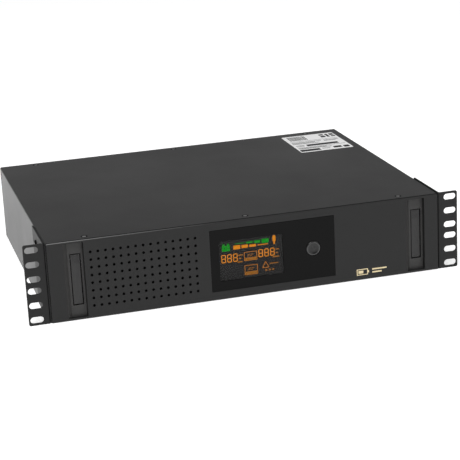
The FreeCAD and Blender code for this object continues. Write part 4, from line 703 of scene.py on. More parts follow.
def bezel_shape():
    """The bezel: paler finger channels, painted shade on the walls of the vent bores and latch openings and
    along the top of its front plate, and a painted highlight on the upper rim.
    """
    bm = refined("front_bezel", 0.2)
    paint_channel, paint_rim_highlight, paint_shade = 2, 3, 4
    channel_half, channel_floor, skin = 10.8, 4.8, 2.9
    vents_level, vents_reach = 44, 36
    centres = [middle(span(f"latch_lever_{side}")).x for side in ("left", "right")]
    for face in bm.faces:
        centre, normal = face.calc_center_median(), face.normal
        depth, below_top = centre.y - bezel_low.y, bezel_high.z - centre.z
        in_channel = depth > 0.5 and min(abs(centre.x - level) for level in centres) < channel_half
        in_vents = (centres[0] + channel_half < centre.x < window_low.x and 0.2 < depth < skin
                    and abs(centre.z - vents_level) < vents_reach)
        # Painted shade: the walls of the vent bores and of the latch openings are painted near-black.
        if abs(normal.y) < 0.3 and (in_vents or (in_channel and depth > channel_floor - 0.2)):
            face.material_index = paint_shade
        elif in_channel and depth < channel_floor and normal.y < -0.3:
            face.material_index = paint_channel
        # Painted shade: the top face of the front plate is painted near-black as a dark seam line.
        elif normal.z > 0.9 and below_top < 0.1 and depth < skin:
            face.material_index = paint_shade
        # Painted highlight: the rounded upper front rim, brighter towards the left.
        elif normal.z > 0.3 and below_top < 1.2 and depth < 1:
            face.material_index = paint_rim_highlight
    return bm


piece("bezel_shape", [(bezel_shape(), own("front_bezel")),
                      (bezel_mark(window_low.y, bezel_high.x - 96.3, bezel_low.z + 5.5), cream_ink),
                      (bmesh.new(), channel_plastic), (bmesh.new(), painted_rim_highlight), (bmesh.new(), painted_shade_black)],
      ["front_bezel"])


def lever_shape(name):
    """A latch's lever, its sides painted dark as the shade of the gap round it, with a grip of small studs at
    the top of its plate.
    """
    bm = refined(name, 0.3)
    low, high = span(name)
    centre = (low.x + high.x) / 2
    half, pitch, dot = 3.8, 1.1, 0.6
    for face in bm.faces:
        # Painted shade: the lever's sides are painted near-black.
        if abs(face.normal.y) < 0.3:
            face.material_index = 1
    for row in range(9):
        for column in range(7):
            across, rise = centre - half + column * pitch, high.z - 12.5 + row * pitch
            block(bm, (across, low.y - 0.22, rise), (across + dot, low.y + 0.5, rise + dot), 0.15, 1)
    return bm


for side in ("left", "right"):
    lever = f"latch_lever_{side}"
    piece(f"latch_{side}_shape", [(lever_shape(lever), own(lever)), (bmesh.new(), painted_shade_black)], [lever])


def pins_shape():
    bm = bmesh.new()
    for low, high in solids("latch_pins"):
        radius, length = (high.z - low.z) / 2, high.x - low.x
        centre = middle((low, high))
        centre.x = low.x
        turned(bm, [(0, 0), (radius - 0.3, 0), (radius, 0.3), (radius, length - 0.3),
                    (radius - 0.3, length), (0, length)], centre, "x", 24)
    return bm


own_piece("pins_shape", pins_shape(), "latch_pins")


def latch_coils():
    bm = bmesh.new()
    for low, high in solids("latch_springs"):
        centre = middle((low, high))
        centre.x = 0
        wire = 0.19
        coil(bm, centre, "x", (high.z - low.z) / 2 - wire, wire, low.x, high.x, 2.6)
    return bm


own_piece("latch_coils", latch_coils(), "latch_springs")


def foam_slab(name, cell, rough):
    """An open foam slab, with a pitted front and back."""
    low, high = span(name)
    shift = 0.3
    bm = bmesh.new()
    block(bm, low, high, 0)
    cuts = int(max(high.x - low.x, high.z - low.z) / cell)
    face_edges = [edge for edge in bm.edges if abs(edge.verts[0].co.y - edge.verts[1].co.y) < 0.01]
    bmesh.ops.subdivide_edges(bm, edges=face_edges, cuts=cuts, use_grid_fill=True)
    for vert in bm.verts:
        if min(vert.co.x - low.x, high.x - vert.co.x, vert.co.z - low.z, high.z - vert.co.z) > 0.1:
            toward = 1 if vert.co.y < (low.y + high.y) / 2 else -1
            vert.co.y += toward * rng.uniform(0, rough)
            vert.co.x += rng.uniform(-shift, shift) * cell
            vert.co.z += rng.uniform(-shift, shift) * cell
    return bm


own_piece("filter_shape", foam_slab("dust_filter", 2.4, 0.8), "dust_filter")


# ---- power button ----

def button_shape():
    """A dished cap with a soft rim and a ring sign, its collar and its stem."""
    low, high = span("power_button")
    centre = middle((low, high))
    centre.y = low.y
    cap, collar, stem, depth = 8.0, 9.6, 2.0, high.y - low.y
    profile = [(0, 1.0), (1.5, 1.0), (1.7, 0.8), (2.2, 0.8), (2.4, 0.98), (3.6, 0.9), (4.8, 0.68),
               (5.7, 0.34), (6.2, 0.1), (6.6, 0), (7.0, 0.04), (7.4, 0.2), (7.7, 0.45), (7.92, 0.85),
               (cap, 1.4), (cap, depth - 1.55), (collar - 0.2, depth - 1.5), (collar, depth - 1.3),
               (collar, depth - 0.7), (collar - 0.2, depth - 0.5), (stem, depth - 0.5), (stem, depth),
               (0, depth)]
    bm = bmesh.new()
    turned(bm, profile, centre, "y", 72)
    for face in bm.faces:
        place = face.calc_center_median()
        if place.y < low.y + 0.9 and 6.0 < math.hypot(place.x - centre.x, place.z - centre.z) < 7.8:
            face.material_index = 1
    return bm


piece("button_shape", [(button_shape(), own("power_button")), (bmesh.new(), button_rim)], ["power_button"])


def button_coil():
    """The button's return spring."""
    low, high = span("button_spring")
    wire = 0.42
    centre = middle((low, high))
    centre.y = 0
    bm = bmesh.new()
    coil(bm, centre, "y", (high.x - low.x) / 2 - wire, wire, low.y, high.y, 5.5, 28)
    item = own_piece("button_coil", bm, "button_spring")
    anchor = middle((low, high)) * MM
    anchor.y = high.y * MM
    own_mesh(item)


button_coil()


def switch_shape():
    """The small switch behind the button: a case, its metal cover and its plunger."""
    low, high = span("tact_switch")
    centre = middle((low, high))
    centre.y = low.y
    case, cover, plunger = bmesh.new(), bmesh.new(), bmesh.new()
    block(case, (low.x, low.y + 1.6, low.z), (high.x, high.y, high.z), 0.25)
    block(cover, (low.x + 0.1, low.y + 1, low.z + 0.1), (high.x - 0.1, low.y + 1.7, high.z - 0.1), 0.15)
    turned(plunger, [(0, 0), (1.5, 0), (1.7, 0.2), (1.7, 1.2), (0, 1.2)], centre, "y", 24)
    return [(case, own("tact_switch")), (cover, FINISHES["plated_screws"]),
            (plunger, FINISHES["bezel_plastic"])]


piece("switch_shape", switch_shape(), ["tact_switch"])


# ---- display ----

glass_low, glass_high = span("lcd_panel")
GLASS_RIM = 3.2
lit_left, lit_right = glass_low.x + GLASS_RIM, glass_high.x - GLASS_RIM
lit_low, lit_high = glass_low.z + GLASS_RIM, glass_high.z - GLASS_RIM
lit_front = glass_low.y - 0.08


def window_shape():
    """The flush panel; its middle is clear and the rest is opaque."""
    bm = refined("display_window", 0.25)
    for point, normal in (((lit_left, 0, 0), (1, 0, 0)), ((lit_right, 0, 0), (1, 0, 0)),
                          ((0, 0, lit_low), (0, 0, 1)), ((0, 0, lit_high), (0, 0, 1))):
        geometry = bm.verts[:] + bm.edges[:] + bm.faces[:]
        bmesh.ops.bisect_plane(bm, geom=geometry, dist=0.0001, plane_co=point, plane_no=normal)
    for face in bm.faces:
        centre = face.calc_center_median()
        if lit_left < centre.x < lit_right and lit_low < centre.z < lit_high:
            face.material_index = 1
    return bm


piece("window_shape", [(window_shape(), own("display_window")), (bmesh.new(), clear_plastic())],
      ["display_window"])


def lit_across(share):
    return lit_left + share * (lit_right - lit_left)


def lit_down(share):
    return lit_high - share * (lit_high - lit_low)


def lit(bm, left, top, right, bottom):
    """A lit bar of the display, from its shares of the width and of the height from the top."""
    block(bm, (lit_across(left), lit_front, lit_down(bottom)),
          (lit_across(right), glass_low.y, lit_down(top)), 0)


def lit_outline(bm, left, top, right, bottom, stroke):
    hollow(bm, lit_across(left), lit_down(bottom), lit_across(right), lit_down(top), stroke, lit_front,
           glass_low.y)


def lit_digit(bm, left, top, right, bottom):
    """A figure eight of seven bars with gaps between them."""
    bar_u, bar_v, gap = 0.009, 0.0145, 0.004
    centre = (top + bottom) / 2
    for level in (top, centre - bar_v / 2, bottom - bar_v):
        lit(bm, left + bar_u, level, right - bar_u, level + bar_v)
    for across in (left, right - bar_u):
        lit(bm, across, top + gap * 3, across + bar_u, centre - gap * 2)
        lit(bm, across, centre + gap * 2, across + bar_u, bottom - gap * 3)


def lit_number(bm, left, top, right, bottom, digits=3):
    pitch, share = (right - left) / digits, 0.72
    for index in range(digits):
        lit_digit(bm, left + index * pitch, top, left + (index + share) * pitch, bottom)


def lit_triangle(bm, left, top, right, bottom, stroke):
    """A triangle's three sides, standing across Y."""
    level = (lit_front + glass_low.y) / 2
    points = [Vector((lit_across(across), level, lit_down(down)))
              for across, down in (((left + right) / 2, top), (right, bottom), (left, bottom))]
    for index, start in enumerate(points):
        pipe(bm, [start, points[(index + 1) % 3]], stroke / 2, 6)


def lit_panel(bm, dim, left, top, right, bottom):
    """An outlined box with a filled lower strip and a small sign above it."""
    width, height, bar = right - left, bottom - top, 0.07
    lit_outline(bm, left, top, right, bottom, 0.42)
    lit(dim, left + bar * width, bottom - 0.34 * height, right - bar * width, bottom - 0.08 * height)
    for start, end, level in ((0.3, 0.48, 0.28), (0.54, 0.72, 0.28), (0.24, 0.42, 0.44), (0.48, 0.6, 0.44)):
        lit(dim, left + start * width, top + level * height, left + end * width,
            top + (level + bar) * height)


def display_art():
    """Plain signs in four colours: a plug, rows of bars, a lamp, numbers, boxes and a triangle."""
    green, amber, dim, digits = (bmesh.new() for _ in range(4))
    for colour, bars in (
            (green, ((0.066, 0.095, 0.096, 0.14), (0.138, 0.095, 0.168, 0.14), (0.055, 0.14, 0.178, 0.195),
                     (0.055, 0.22, 0.178, 0.28), (0.055, 0.195, 0.086, 0.22), (0.1, 0.195, 0.134, 0.22),
                     (0.148, 0.195, 0.178, 0.22), (0.26, 0.116, 0.41, 0.13), (0.436, 0.108, 0.54, 0.15),
                     (0.564, 0.103, 0.657, 0.168), (0.68, 0.088, 0.79, 0.19))),
            (amber, ((0.234, 0.163, 0.34, 0.263), (0.362, 0.174, 0.461, 0.253),
                     (0.485, 0.189, 0.588, 0.25), (0.614, 0.214, 0.778, 0.236),
                     (0.862, 0.03, 0.892, 0.05), (0.853, 0.05, 0.901, 0.18), (0.865, 0.18, 0.889, 0.255)))):
        for left, top, right, bottom in bars:
            lit(colour, left, top, right, bottom)
    lit_number(digits, 0.04, 0.368, 0.316, 0.568)
    lit_number(digits, 0.624, 0.346, 0.902, 0.54)
    for left, right, level in ((0.303, 0.376, 0.405), (0.313, 0.35, 0.49), (0.288, 0.366, 0.575),
                               (0.895, 0.95, 0.375), (0.895, 0.93, 0.465), (0.845, 0.95, 0.56)):
        lit(dim, left, level, right, level + 0.03)
    lit_panel(amber, dim, 0.396, 0.365, 0.598, 0.585)
    lit_panel(amber, dim, 0.396, 0.705, 0.6, 0.948)
    lit_triangle(amber, 0.679, 0.67, 0.778, 0.82, 0.5)
    lit(dim, 0.792, 0.722, 0.93, 0.745)
    for across in (0.72, 0.776, 0.83):
        lit(dim, across, 0.868, across + 0.03, 0.91)
    return [(green, green_light), (amber, amber_light), (dim, dim_amber), (digits, digit_light)]


def glass_shape():
    """The display's glass and its two metal edge clips."""
    glass, clips = bmesh.new(), bmesh.new()
    block(glass, glass_low, glass_high, 0.2)
    for left in (glass_low.x + 12, glass_high.x - 18):
        block(clips, (left, glass_low.y + 0.3, glass_high.z - 0.4),
              (left + 6, glass_high.y, glass_high.z), 0.1)
    return [(glass, own("lcd_panel")), (clips, FINISHES["terminal_tin"])]


piece("display_glass", glass_shape() + display_art(), ["lcd_panel"])


def lcd_frame_shape():
    """The light box behind the glass, with pegs along its sides."""
    bm = refined("lcd_frame", 0.35)
    low, high = span("lcd_frame")
    for across in (low.x + 9, high.x - 13):
        for bottom, top in ((high.z - 0.2, high.z + 0.8), (low.z - 0.8, low.z + 0.2)):
            block(bm, (across, low.y + 1, bottom), (across + 4, high.y - 0.6, top), 0.2)
    return bm


own_piece("light_box", lcd_frame_shape(), "lcd_frame")


# ---- circuit boards ----

def clear_of(low, high, boxes, gap):
    """Whether a box keeps a gap from all the others."""
    return all(any(high[i] + gap < box[0][i] or low[i] - gap > box[1][i] for i in range(3)) for box in boxes)


def populate(board, axis, count, blockers, tallest):
    """Small parts soldered over a board's free area, on the face that looks along an axis."""
    low, high = span(board)
    flat = [i for i in range(3) if i != axis]
    margin, gap, pad, foot, large = 3, 1.2, 0.45, 0.15, 15
    chips, bright, pale = bmesh.new(), bmesh.new(), bmesh.new()
    taken = [box for name in blockers for box in solids(name)]
    kinds = ((1.6, 0.8, 0.5), (3.2, 1.6, 0.6), (5.0, 4.0, 1.4), (9.0, 6.0, 1.7), (2.0, 1.2, 0.8))
    for _ in range(count):
        size = list(rng.choice(kinds))
        if rng.random() < 0.5:
            size[0], size[1] = size[1], size[0]
        start = [high[axis]] * 3
        for index, i in enumerate(flat):
            start[i] = rng.uniform(low[i] + margin, high[i] - margin - size[index])
        end = list(start)
        for index, i in enumerate(flat):
            end[i] += size[index]
        end[axis] += min(size[2], tallest)
        if not clear_of(start, end, taken, gap):
            continue
        taken.append((Vector(start), Vector(end)))
        bm = chips if size[0] * size[1] > large else rng.choice((chips, pale))
        block(bm, start, end, 0.1, 1)
        for i in flat:
            start[i] -= pad
            end[i] += pad
        end[axis] = start[axis] + foot
        block(bright, start, end, 0.03, 1)
    return [(chips, FINISHES["chip_plastic"]), (bright, FINISHES["terminal_tin"]),
            (pale, FINISHES["fuse_glass"])]


for board, axis, count, tallest, blockers in (
        ("main_board", 2, 420, 2.0, ("heat_sink_front", "heat_sink_rear", "power_transistors", "capacitors",
                                     "relays", "choke", "terminal_block", "fuses", "board_screws")),
        ("display_board", 1, 110, 1.6, ("board_standoffs",)),
        ("port_board", 2, 60, 1.6, ("port_sockets",))):
    piece(f"{board}_shape", [(refined(board, 0.06), own(board)),
                             *populate(board, axis, count, blockers, tallest)], [board])


# ---- batteries and transformer ----

def battery_shape(name, terminal_side):
    """A sealed battery on its side: ribbed case, lid with vent plugs, and two plain panels on its face."""
    low, high = span(name)
    case, panel = bmesh.new(), bmesh.new()
    lid, edge, plugs, ribs, rib = 3.0, 0.9, 6, 9, 1.6
    block(case, (low.x + edge, low.y + lid - 0.5, low.z + edge),
          (high.x - edge, high.y - lid + 0.5, high.z - edge), 1.2, 3)
    for start in (low.y, high.y - lid):
        block(case, (low.x, start, low.z), (high.x, start + lid, high.z), edge, 3)
    for index in range(ribs):
        rise = low.z + 7 + index * (high.z - low.z - 14 - rib) / (ribs - 1)
        for across in (low.x + 0.3, high.x - 1.2):
            block(case, (across, low.y + 12, rise), (across + edge, high.y - 12, rise + rib), 0.3)
    outer = high.y - 0.4 if terminal_side > 0 else low.y - 0.05
    for index in range(plugs):
        across = low.x + 30 + index * (high.x - low.x - 60) / (plugs - 1)
        turned(case, [(0, 0), (5.2, 0), (5.6, 0.2), (5.6, 0.45), (0, 0.45)], (across, outer, low.z + 22),
               "y", 28)
    top = high.z - edge
    for start, end in ((low.y + 8, low.y + 30), (high.y - 30, high.y - 8)):
        block(panel, (low.x + 38, start, top - 0.3), (high.x - 12, end, top + 0.05), 0.02, 1)
    piece(f"{name}_shape", [(case, own(name)), (panel, FINISHES["relay_plastic"])], [name])


battery_shape("battery_front", 1)
battery_shape("battery_rear", -1)

for name, rounding in (("battery_terminals", 0.12), ("battery_pads", 0.7), ("heat_sink_front", 0.22),
                       ("heat_sink_rear", 0.22), ("power_transistors", 0.14), ("fan_housing", 0.4),
                       ("inlet_pins", 0.3), ("fan_motor", 0.3), ("board_standoffs", 0.12)):
    own_piece(f"{name}_shape", refined(name, rounding), name)


def core_shape():
    """The transformer's core: a stack of thin plates with two windows, held by four bolts."""
    low, high = span("transformer_core")
    coil_low = span("transformer_coil")[0]
    bm, bolts = bmesh.new(), bmesh.new()
    limb, yoke = coil_low.x - low.x - 0.5, coil_low.z - low.z - 0.5
    plates, gap = 23, 0.12
    pitch = (high.y - low.y) / plates
    for index in range(plates):
        front = low.y + index * pitch
        back = front + pitch - gap
        inset = gap * (index % 2)
        for left, right in ((low.x + inset, low.x + limb), (low.x + 2 * limb, high.x - 2 * limb),
                            (high.x - limb, high.x - inset)):
            block(bm, (left, front, low.z + yoke), (right, back, high.z - yoke), 0)
        for start, end in ((low.z + inset, low.z + yoke), (high.z - yoke, high.z - inset)):
            block(bm, (low.x + inset, front, start), (high.x - inset, back, end), 0.15, 1)
    for across in (low.x + limb / 2, high.x - limb / 2):
        for rise in (low.z + yoke / 2, high.z - yoke / 2):
            prism(bolts, ring_outline(across, rise, 3.4, 6), low.y - 2.2, low.y, "y", 0.3)
            turned(bolts, [(0, -3.4), (1.7, -3.4), (2, -3.1), (2, 0), (0, 0)], (across, low.y, rise), "y", 20)
    return [(bm, own("transformer_core")), (bolts, FINISHES["plated_screws"])]


piece("core_shape", core_shape(), ["transformer_core"])


def winding_shape():
    """Both windings, rounded by their turns, wrapped in tape, with the end turns of copper showing."""
    low, high = span("transformer_coil")
    core_low, core_high = span("transformer_core")
    tape, wires = bmesh.new(), bmesh.new()
    rows = 7
    for start, end in ((low.y, core_low.y - 0.3), (core_high.y + 0.3, high.y)):
        block(tape, (low.x, start, low.z), (high.x, end, high.z), 5, 5)
        for index in range(rows):
            rise = low.z + 8 + index * (high.z - low.z - 16) / (rows - 1)
            block(wires, (low.x + 6, start + 0.6, rise - 0.5), (high.x - 6, end - 0.6, rise + 0.5), 0.4)
    for left, right in ((low.x, low.x + 15), (high.x - 15, high.x)):
        block(tape, (left, core_low.y - 1, low.z + 1), (right, core_high.y + 1, high.z - 1), 0.6)
    return [(tape, own("transformer_coil")), (wires, copper)]


piece("winding_shape", winding_shape(), ["transformer_coil"])


# ---- parts on the main board ----

def capacitor_shapes():
    """Sleeved cans with a crimp near the foot and a scored metal top."""
    sleeve, metal = bmesh.new(), bmesh.new()
    for low, high in solids("capacitors"):
        centre = middle((low, high))
        centre.z = low.z
        radius, height = (high.x - low.x) / 2, high.z - low.z
        turned(sleeve, [(0, 0), (radius - 1.4, 0), (radius - 0.2, 0.8), (radius, 1.8), (radius, 4.4),
                        (radius - 1, 5.4), (radius - 1, 6), (radius, 7), (radius, height - 1.2),
                        (radius - 0.6, height - 0.2), (radius - 1.4, height), (radius - 1.6, height - 0.3)],
               centre, "z", 48)
        turned(metal, [(0, height - 0.35), (radius - 1.3, height - 0.35), (radius - 1.6, height - 0.8),
                       (0, height - 0.8)], centre, "z", 48)
        for turn in range(3):
            angle = math.pi * turn / 3
            reach = Vector((math.cos(angle), math.sin(angle), 0)) * (radius - 4)
            level = Vector((0, 0, height - 0.3))
            pipe(metal, [centre + level - reach, centre + level + reach], 0.16, 6)
    return [(sleeve, own("capacitors")), (metal, FINISHES["terminal_tin"])]


piece("capacitor_shapes", capacitor_shapes(), ["capacitors"])


def relay_shapes():
    """Cased relays, each on a small foot, with a key on top and a plain white panel."""
    bm, mark = bmesh.new(), bmesh.new()
    for low, high in solids("relays"):
        level = (low.y + high.y) / 2
        block(bm, (low.x, low.y, low.z + 0.6), high, 0.7, 3)
        block(bm, (low.x + 0.4, low.y + 0.4, low.z), (high.x - 0.4, high.y - 0.4, low.z + 0.8), 0.1)
        block(bm, (low.x + 2, level - 0.5, high.z - 0.2), (low.x + 3.5, level + 0.5, high.z + 0.3), 0.2)
        block(mark, (low.x + 6, low.y + 2.5, high.z - 0.1),
              (high.x - 4, high.y - 2.5, high.z + 0.03), 0.01, 1)
    return [(bm, own("relays")), (mark, white_ink)]


piece("relay_shapes", relay_shapes(), ["relays"])


def choke_shape():
    """A ring core wound with copper, with a gap between its two windings."""
    low, high = span("choke")
    centre = middle((low, high))
    outer, hole, half = (high.x - low.x) / 2 - 1.1, 9.4, (high.z - low.z - 2.2) / 2
    core, wires = bmesh.new(), bmesh.new()
    turned(core, [(hole, -half + 1), (hole + 1, -half), (outer - 1, -half), (outer, -half + 1),
                  (outer, half - 1), (outer - 1, half), (hole + 1, half), (hole, half - 1),
                  (hole, -half + 1)], centre, "z", 56)
    wire, turns = 0.5, 34
    turn_path = ((hole - wire, -half + 1), (hole + 0.6, -half - wire), (outer - 0.6, -half - wire),
                 (outer + wire, -half + 1), (outer + wire, half - 1), (outer - 0.6, half + wire),
                 (hole + 0.6, half + wire), (hole - wire, half - 1))
    for step in range(turns):
        if step % (turns // 2) in (0, turns // 2 - 1):
            continue
        angle = math.tau * step / turns
        across = Vector((math.cos(angle), math.sin(angle), 0))
        path = [centre + across * radius + UP * level for radius, level in turn_path]
        pipe(wires, path, wire, 6, closed=True)
    return [(core, own("choke")), (wires, copper)]


piece("choke_shape", choke_shape(), ["choke"])


def terminal_block_shape():
    """The terminal block, with a screw in each of its ways."""
    bm, heads = refined("terminal_block", 0.3), bmesh.new()
    low, high = span("terminal_block")
    ways = 4
    pitch = (high.x - low.x) / ways
    for index in range(ways):
        centre = Vector((low.x + (index + 0.5) * pitch, (low.y + high.y) / 2, high.z - 0.7))
        place_copy(heads, SMALL_PAN, centre, UP, rng.uniform(0, math.tau))
    bmesh.ops.scale(heads, vec=(0.92, 0.92, 1), verts=heads.verts,
                    space=Matrix.Translation(-middle((low, high))))
    return [(bm, own("terminal_block")), (heads, FINISHES["plated_screws"])]


piece("terminal_block_shape", terminal_block_shape(), ["terminal_block"])


def fuse_shapes():
    """Glass tubes with metal caps and a fine wire, in sprung clips."""
    glass, metal = bmesh.new(), bmesh.new()
    for low, high in solids("fuses"):
        centre = Vector((low.x, (low.y + high.y) / 2, high.z - 2.6))
        length, cap = high.x - low.x, 5.5
        turned(glass, [(0, 4), (2.35, 4), (2.35, length - 4), (0, length - 4)], centre, "x", 24)
        for start in (0, length - cap):
            turned(metal, [(0, start), (2.3, start), (2.6, start + 0.3), (2.6, start + cap - 0.2),
                           (2.4, start + cap), (0, start + cap)], centre, "x", 24)
            for across in (-2.9, 2.3):
                block(metal, (low.x + start + 1, centre.y + across, low.z),
                      (low.x + start + 4.4, centre.y + across + 0.6, centre.z + 1.6), 0.15)
    return [(glass, own("fuses")), (metal, FINISHES["terminal_tin"])]


piece("fuse_shapes", fuse_shapes(), ["fuses"])


# ---- fan ----

def rotor_shape():
    """A cupped hub with swept, twisted blades."""
    low, high = span("fan_rotor")
    centre = middle((low, high))
    centre.y = low.y
    depth = high.y - low.y
    hub, tip = 18.0, (high.x - low.x) / 2 - 0.35
    root, margin, sheet = 0.4, 1.3, 0.65
    blades, across_steps, along_steps = 7, 8, 8
    bm = bmesh.new()
    turned(bm, [(0, 0), (hub - 2.2, 0), (hub - 0.7, 0.45), (hub, 1.6), (hub, depth), (hub - 1.5, depth),
                (hub - 1.5, 1.6), (1.5, 1.5), (1.5, depth), (0, depth)], centre, "y", 72)

    def blade_point(blade, across, along):
        share, run = across / across_steps, along / along_steps
        radius = hub - root + (tip - hub + root) * share
        angle = (math.tau * blade / blades + 0.10 * share + (0.40 - 0.16 * share) * (run - 0.5)
                 + 0.10 * math.sin(math.pi * run))
        return Vector((centre.x + radius * math.cos(angle), centre.y + margin + (depth - 2 * margin) * run,
                       centre.z + radius * math.sin(angle)))

    for blade in range(blades):
        rows = [[blade_point(blade, across, along) for along in range(along_steps + 1)]
                for across in range(across_steps + 1)]
        skins = []
        for side in (-1, 1):
            skin = []
            for across, row in enumerate(rows):
                line = []
                outer, inner = rows[min(across + 1, across_steps)], rows[max(across - 1, 0)]
                for along, point in enumerate(row):
                    ahead = row[min(along + 1, along_steps)] - row[max(along - 1, 0)]
                    normal = ahead.cross(outer[along] - inner[along]).normalized()
                    taper = math.sin(math.pi * (0.12 + 0.76 * along / along_steps))
                    line.append(bm.verts.new(point + normal * side * sheet * taper))
                skin.append(line)
            skins.append(skin)
        for skin in skins:
            for first, second in zip(skin, skin[1:]):
                for along in range(along_steps):
                    bm.faces.new((first[along], second[along], second[along + 1], first[along + 1]))
        near, far = skins
        for across in range(across_steps):
            for along in (0, along_steps):
                bm.faces.new((near[across][along], near[across + 1][along], far[across + 1][along],
                              far[across][along]))
        for along in range(along_steps):
            for across in (0, across_steps):
                bm.faces.new((near[across][along], near[across][along + 1], far[across][along + 1],
                              far[across][along]))
    return bm


own_piece("rotor_shape", rotor_shape(), "fan_rotor")


# ---- rear fittings ----

def coupler_outline(centre, half_width, half_height, chamfer, radius=0.8):
    """The outline of an appliance coupler round a centre, with its two upper corners cut off."""
    left, right = centre.x - half_width, centre.x + half_width
    low, high = centre.z - half_height, centre.z + half_height
    return [(left + radius, low), (right - radius, low), (right, low + radius), (right, high - chamfer),
            (right - chamfer, high), (left + chamfer, high), (left, high - chamfer), (left, low + radius)]


def behind_flange(bm, low, high, centre, back, half_width, half_height, radius, rounding):
    """A fitting's rounded flange and the body behind it."""
    prism(bm, rounded(low.x, low.z, high.x, high.z, radius), back, high.y, "y", rounding, 2)
    block(bm, (centre.x - half_width, low.y, centre.z - half_height),
          (centre.x + half_width, back + 0.5, centre.z + half_height), 0.6)


def thread(crest, root, start, count, pitch=0.7):
    """A thread's crests and roots, as (radius, distance) pairs."""
    return [pair for step in range(count)
            for pair in ((crest, start + step * pitch), (root, start + pitch / 2 + step * pitch))]


def inlet_shape():
    """The mains inlet: a flange, a deep six-sided cavity and two screw holes."""
    low, high = span("mains_inlet")
    centre = middle((low, high))
    bm, cavity, rim = bmesh.new(), bmesh.new(), bmesh.new()
    behind_flange(bm, low, high, centre, high.y - 3, 14.9, 11.4, 4.5, 0.5)
    prism(cavity, coupler_outline(centre, 12.3, 8.3, 4.6), high.y - 17, high.y + 1, "y")
    bm = carved(bm, cavity)
    for across in (-20, 20):
        hole = bmesh.new()
        rod(hole, 1.45, -4, 1, (centre.x + across, high.y, centre.z), "y", 24)
        bm = carved(bm, hole)
    lip = coupler_outline(centre, 13.1, 9.1, 4.9)
    pipe(rim, [(x, high.y - 0.15, z) for x, z in lip], 0.35, 8, closed=True)
    return [(bm, own("mains_inlet")), (rim, own("mains_inlet"))]


piece("inlet_shape", inlet_shape(), ["mains_inlet"])


def outlet_shapes():
    """Six outlets: a snap-in flange, a groove for the plug's shroud and an island with three slots."""
    whole, metal = bmesh.new(), bmesh.new()
    for low, high in solids("outlet_sockets"):
        centre = middle((low, high))
        bm, groove, island, slots = (bmesh.new() for _ in range(4))
        behind_flange(bm, low, high, centre, high.y - 2.2, 13.4, 9.9, 2.2, 0.45)
        prism(groove, coupler_outline(centre, 12.2, 8.2, 4.4), high.y - 14, high.y + 1, "y")
        prism(island, coupler_outline(centre, 10, 6, 3.4), high.y - 14.2, high.y - 0.4, "y", 0.35, 2)
        for across, rise in ((-7, 0), (0, 1.8), (7, 0)):
            x, z = centre.x + across, centre.z + rise
            block(slots, (x - 1.2, high.y - 12, z - 2.3), (x + 1.2, high.y + 1, z + 2.3), 0)
            block(metal, (x - 1.1, high.y - 12.1, z - 2.2), (x + 1.1, high.y - 11.6, z + 2.2), 0.05, 1)
        pour(whole, carved(bm, groove))
        pour(whole, carved(island, slots))
    return [(whole, own("outlet_sockets")), (metal, FINISHES["brass_pin"])]


piece("outlet_shapes", outlet_shapes(), ["outlet_sockets"])


def breaker_shape():
    """The breaker: a case behind the wall, a threaded bush and a chamfered nut."""
    low, high = span("breaker_body")
    axis = middle(span("breaker_reset"))
    axis.y = 0
    nut, bush, case = bmesh.new(), bmesh.new(), bmesh.new()
    bore, wall, depth = 4.8, high.y - 4.2, 14
    prism(nut, ring_outline(axis.x, axis.z, 11, 6), high.y - 3, high.y - 0.5, "y", 0.6, 2)
    turned(bush, [(bore, high.y - depth), (8, high.y - depth), *thread(8, 7.5, high.y - 3.6, 5),
                  (7.2, high.y), (bore, high.y), (bore, high.y - depth)], axis, "y", 48)
    block(case, (low.x, low.y, low.z), (high.x, wall, high.z), 0.8)
    pierced = []
    for bm, start, end in ((case, wall - depth, wall + 2), (nut, high.y - 5, high.y + 2)):
        hole = bmesh.new()
        rod(hole, bore, start, end, axis, "y")
        pierced.append(carved(bm, hole))
    case, nut = pierced
    return [(case, own("breaker_body")), (bush, own("breaker_body")), (nut, FINISHES["plated_screws"])]


piece("breaker_shape", breaker_shape(), ["breaker_body"])


def reset_shape():
    """The breaker's push button, with a softened and slightly dished end."""
    low, high = span("breaker_reset")
    centre = middle((low, high))
    centre.y = low.y
    length, radius = high.y - low.y, (high.x - low.x) / 2
    bm = bmesh.new()
    turned(bm, [(0, 0), (radius - 0.3, 0), (radius, 0.3), (radius, length - 1.2),
                (radius - 0.4, length - 0.35), (radius - 1.3, length), (1.6, length - 0.2),
                (0, length - 0.35)], centre, "y", 40)
    return bm


own_piece("reset_shape", reset_shape(), "breaker_reset")


def earth_shape():
    """A threaded stud with a washer and a chamfered nut."""
    low, high = span("earth_stud")
    axis = middle((low, high))
    axis.y = 0
    stud, wall, washer, pitch = 1.9, high.y - 11.6, 0.7, 0.7
    bm = bmesh.new()
    turned(bm, [(0, low.y), (stud, low.y), (stud, wall + 3),
                *thread(stud, 1.55, wall + 3.2, int((high.y - wall - 4) / pitch), pitch),
                (1.3, high.y), (0, high.y)], axis, "y", 28)
    turned(bm, [(stud, wall), (4.5, wall), (4.5, wall + washer), (stud, wall + washer)], axis, "y", 36)
    prism(bm, ring_outline(axis.x, axis.z, 4.3, 6), wall + washer, wall + 3.2, "y", 0.35, 2)
    return bm


own_piece("earth_shape", earth_shape(), "earth_stud")


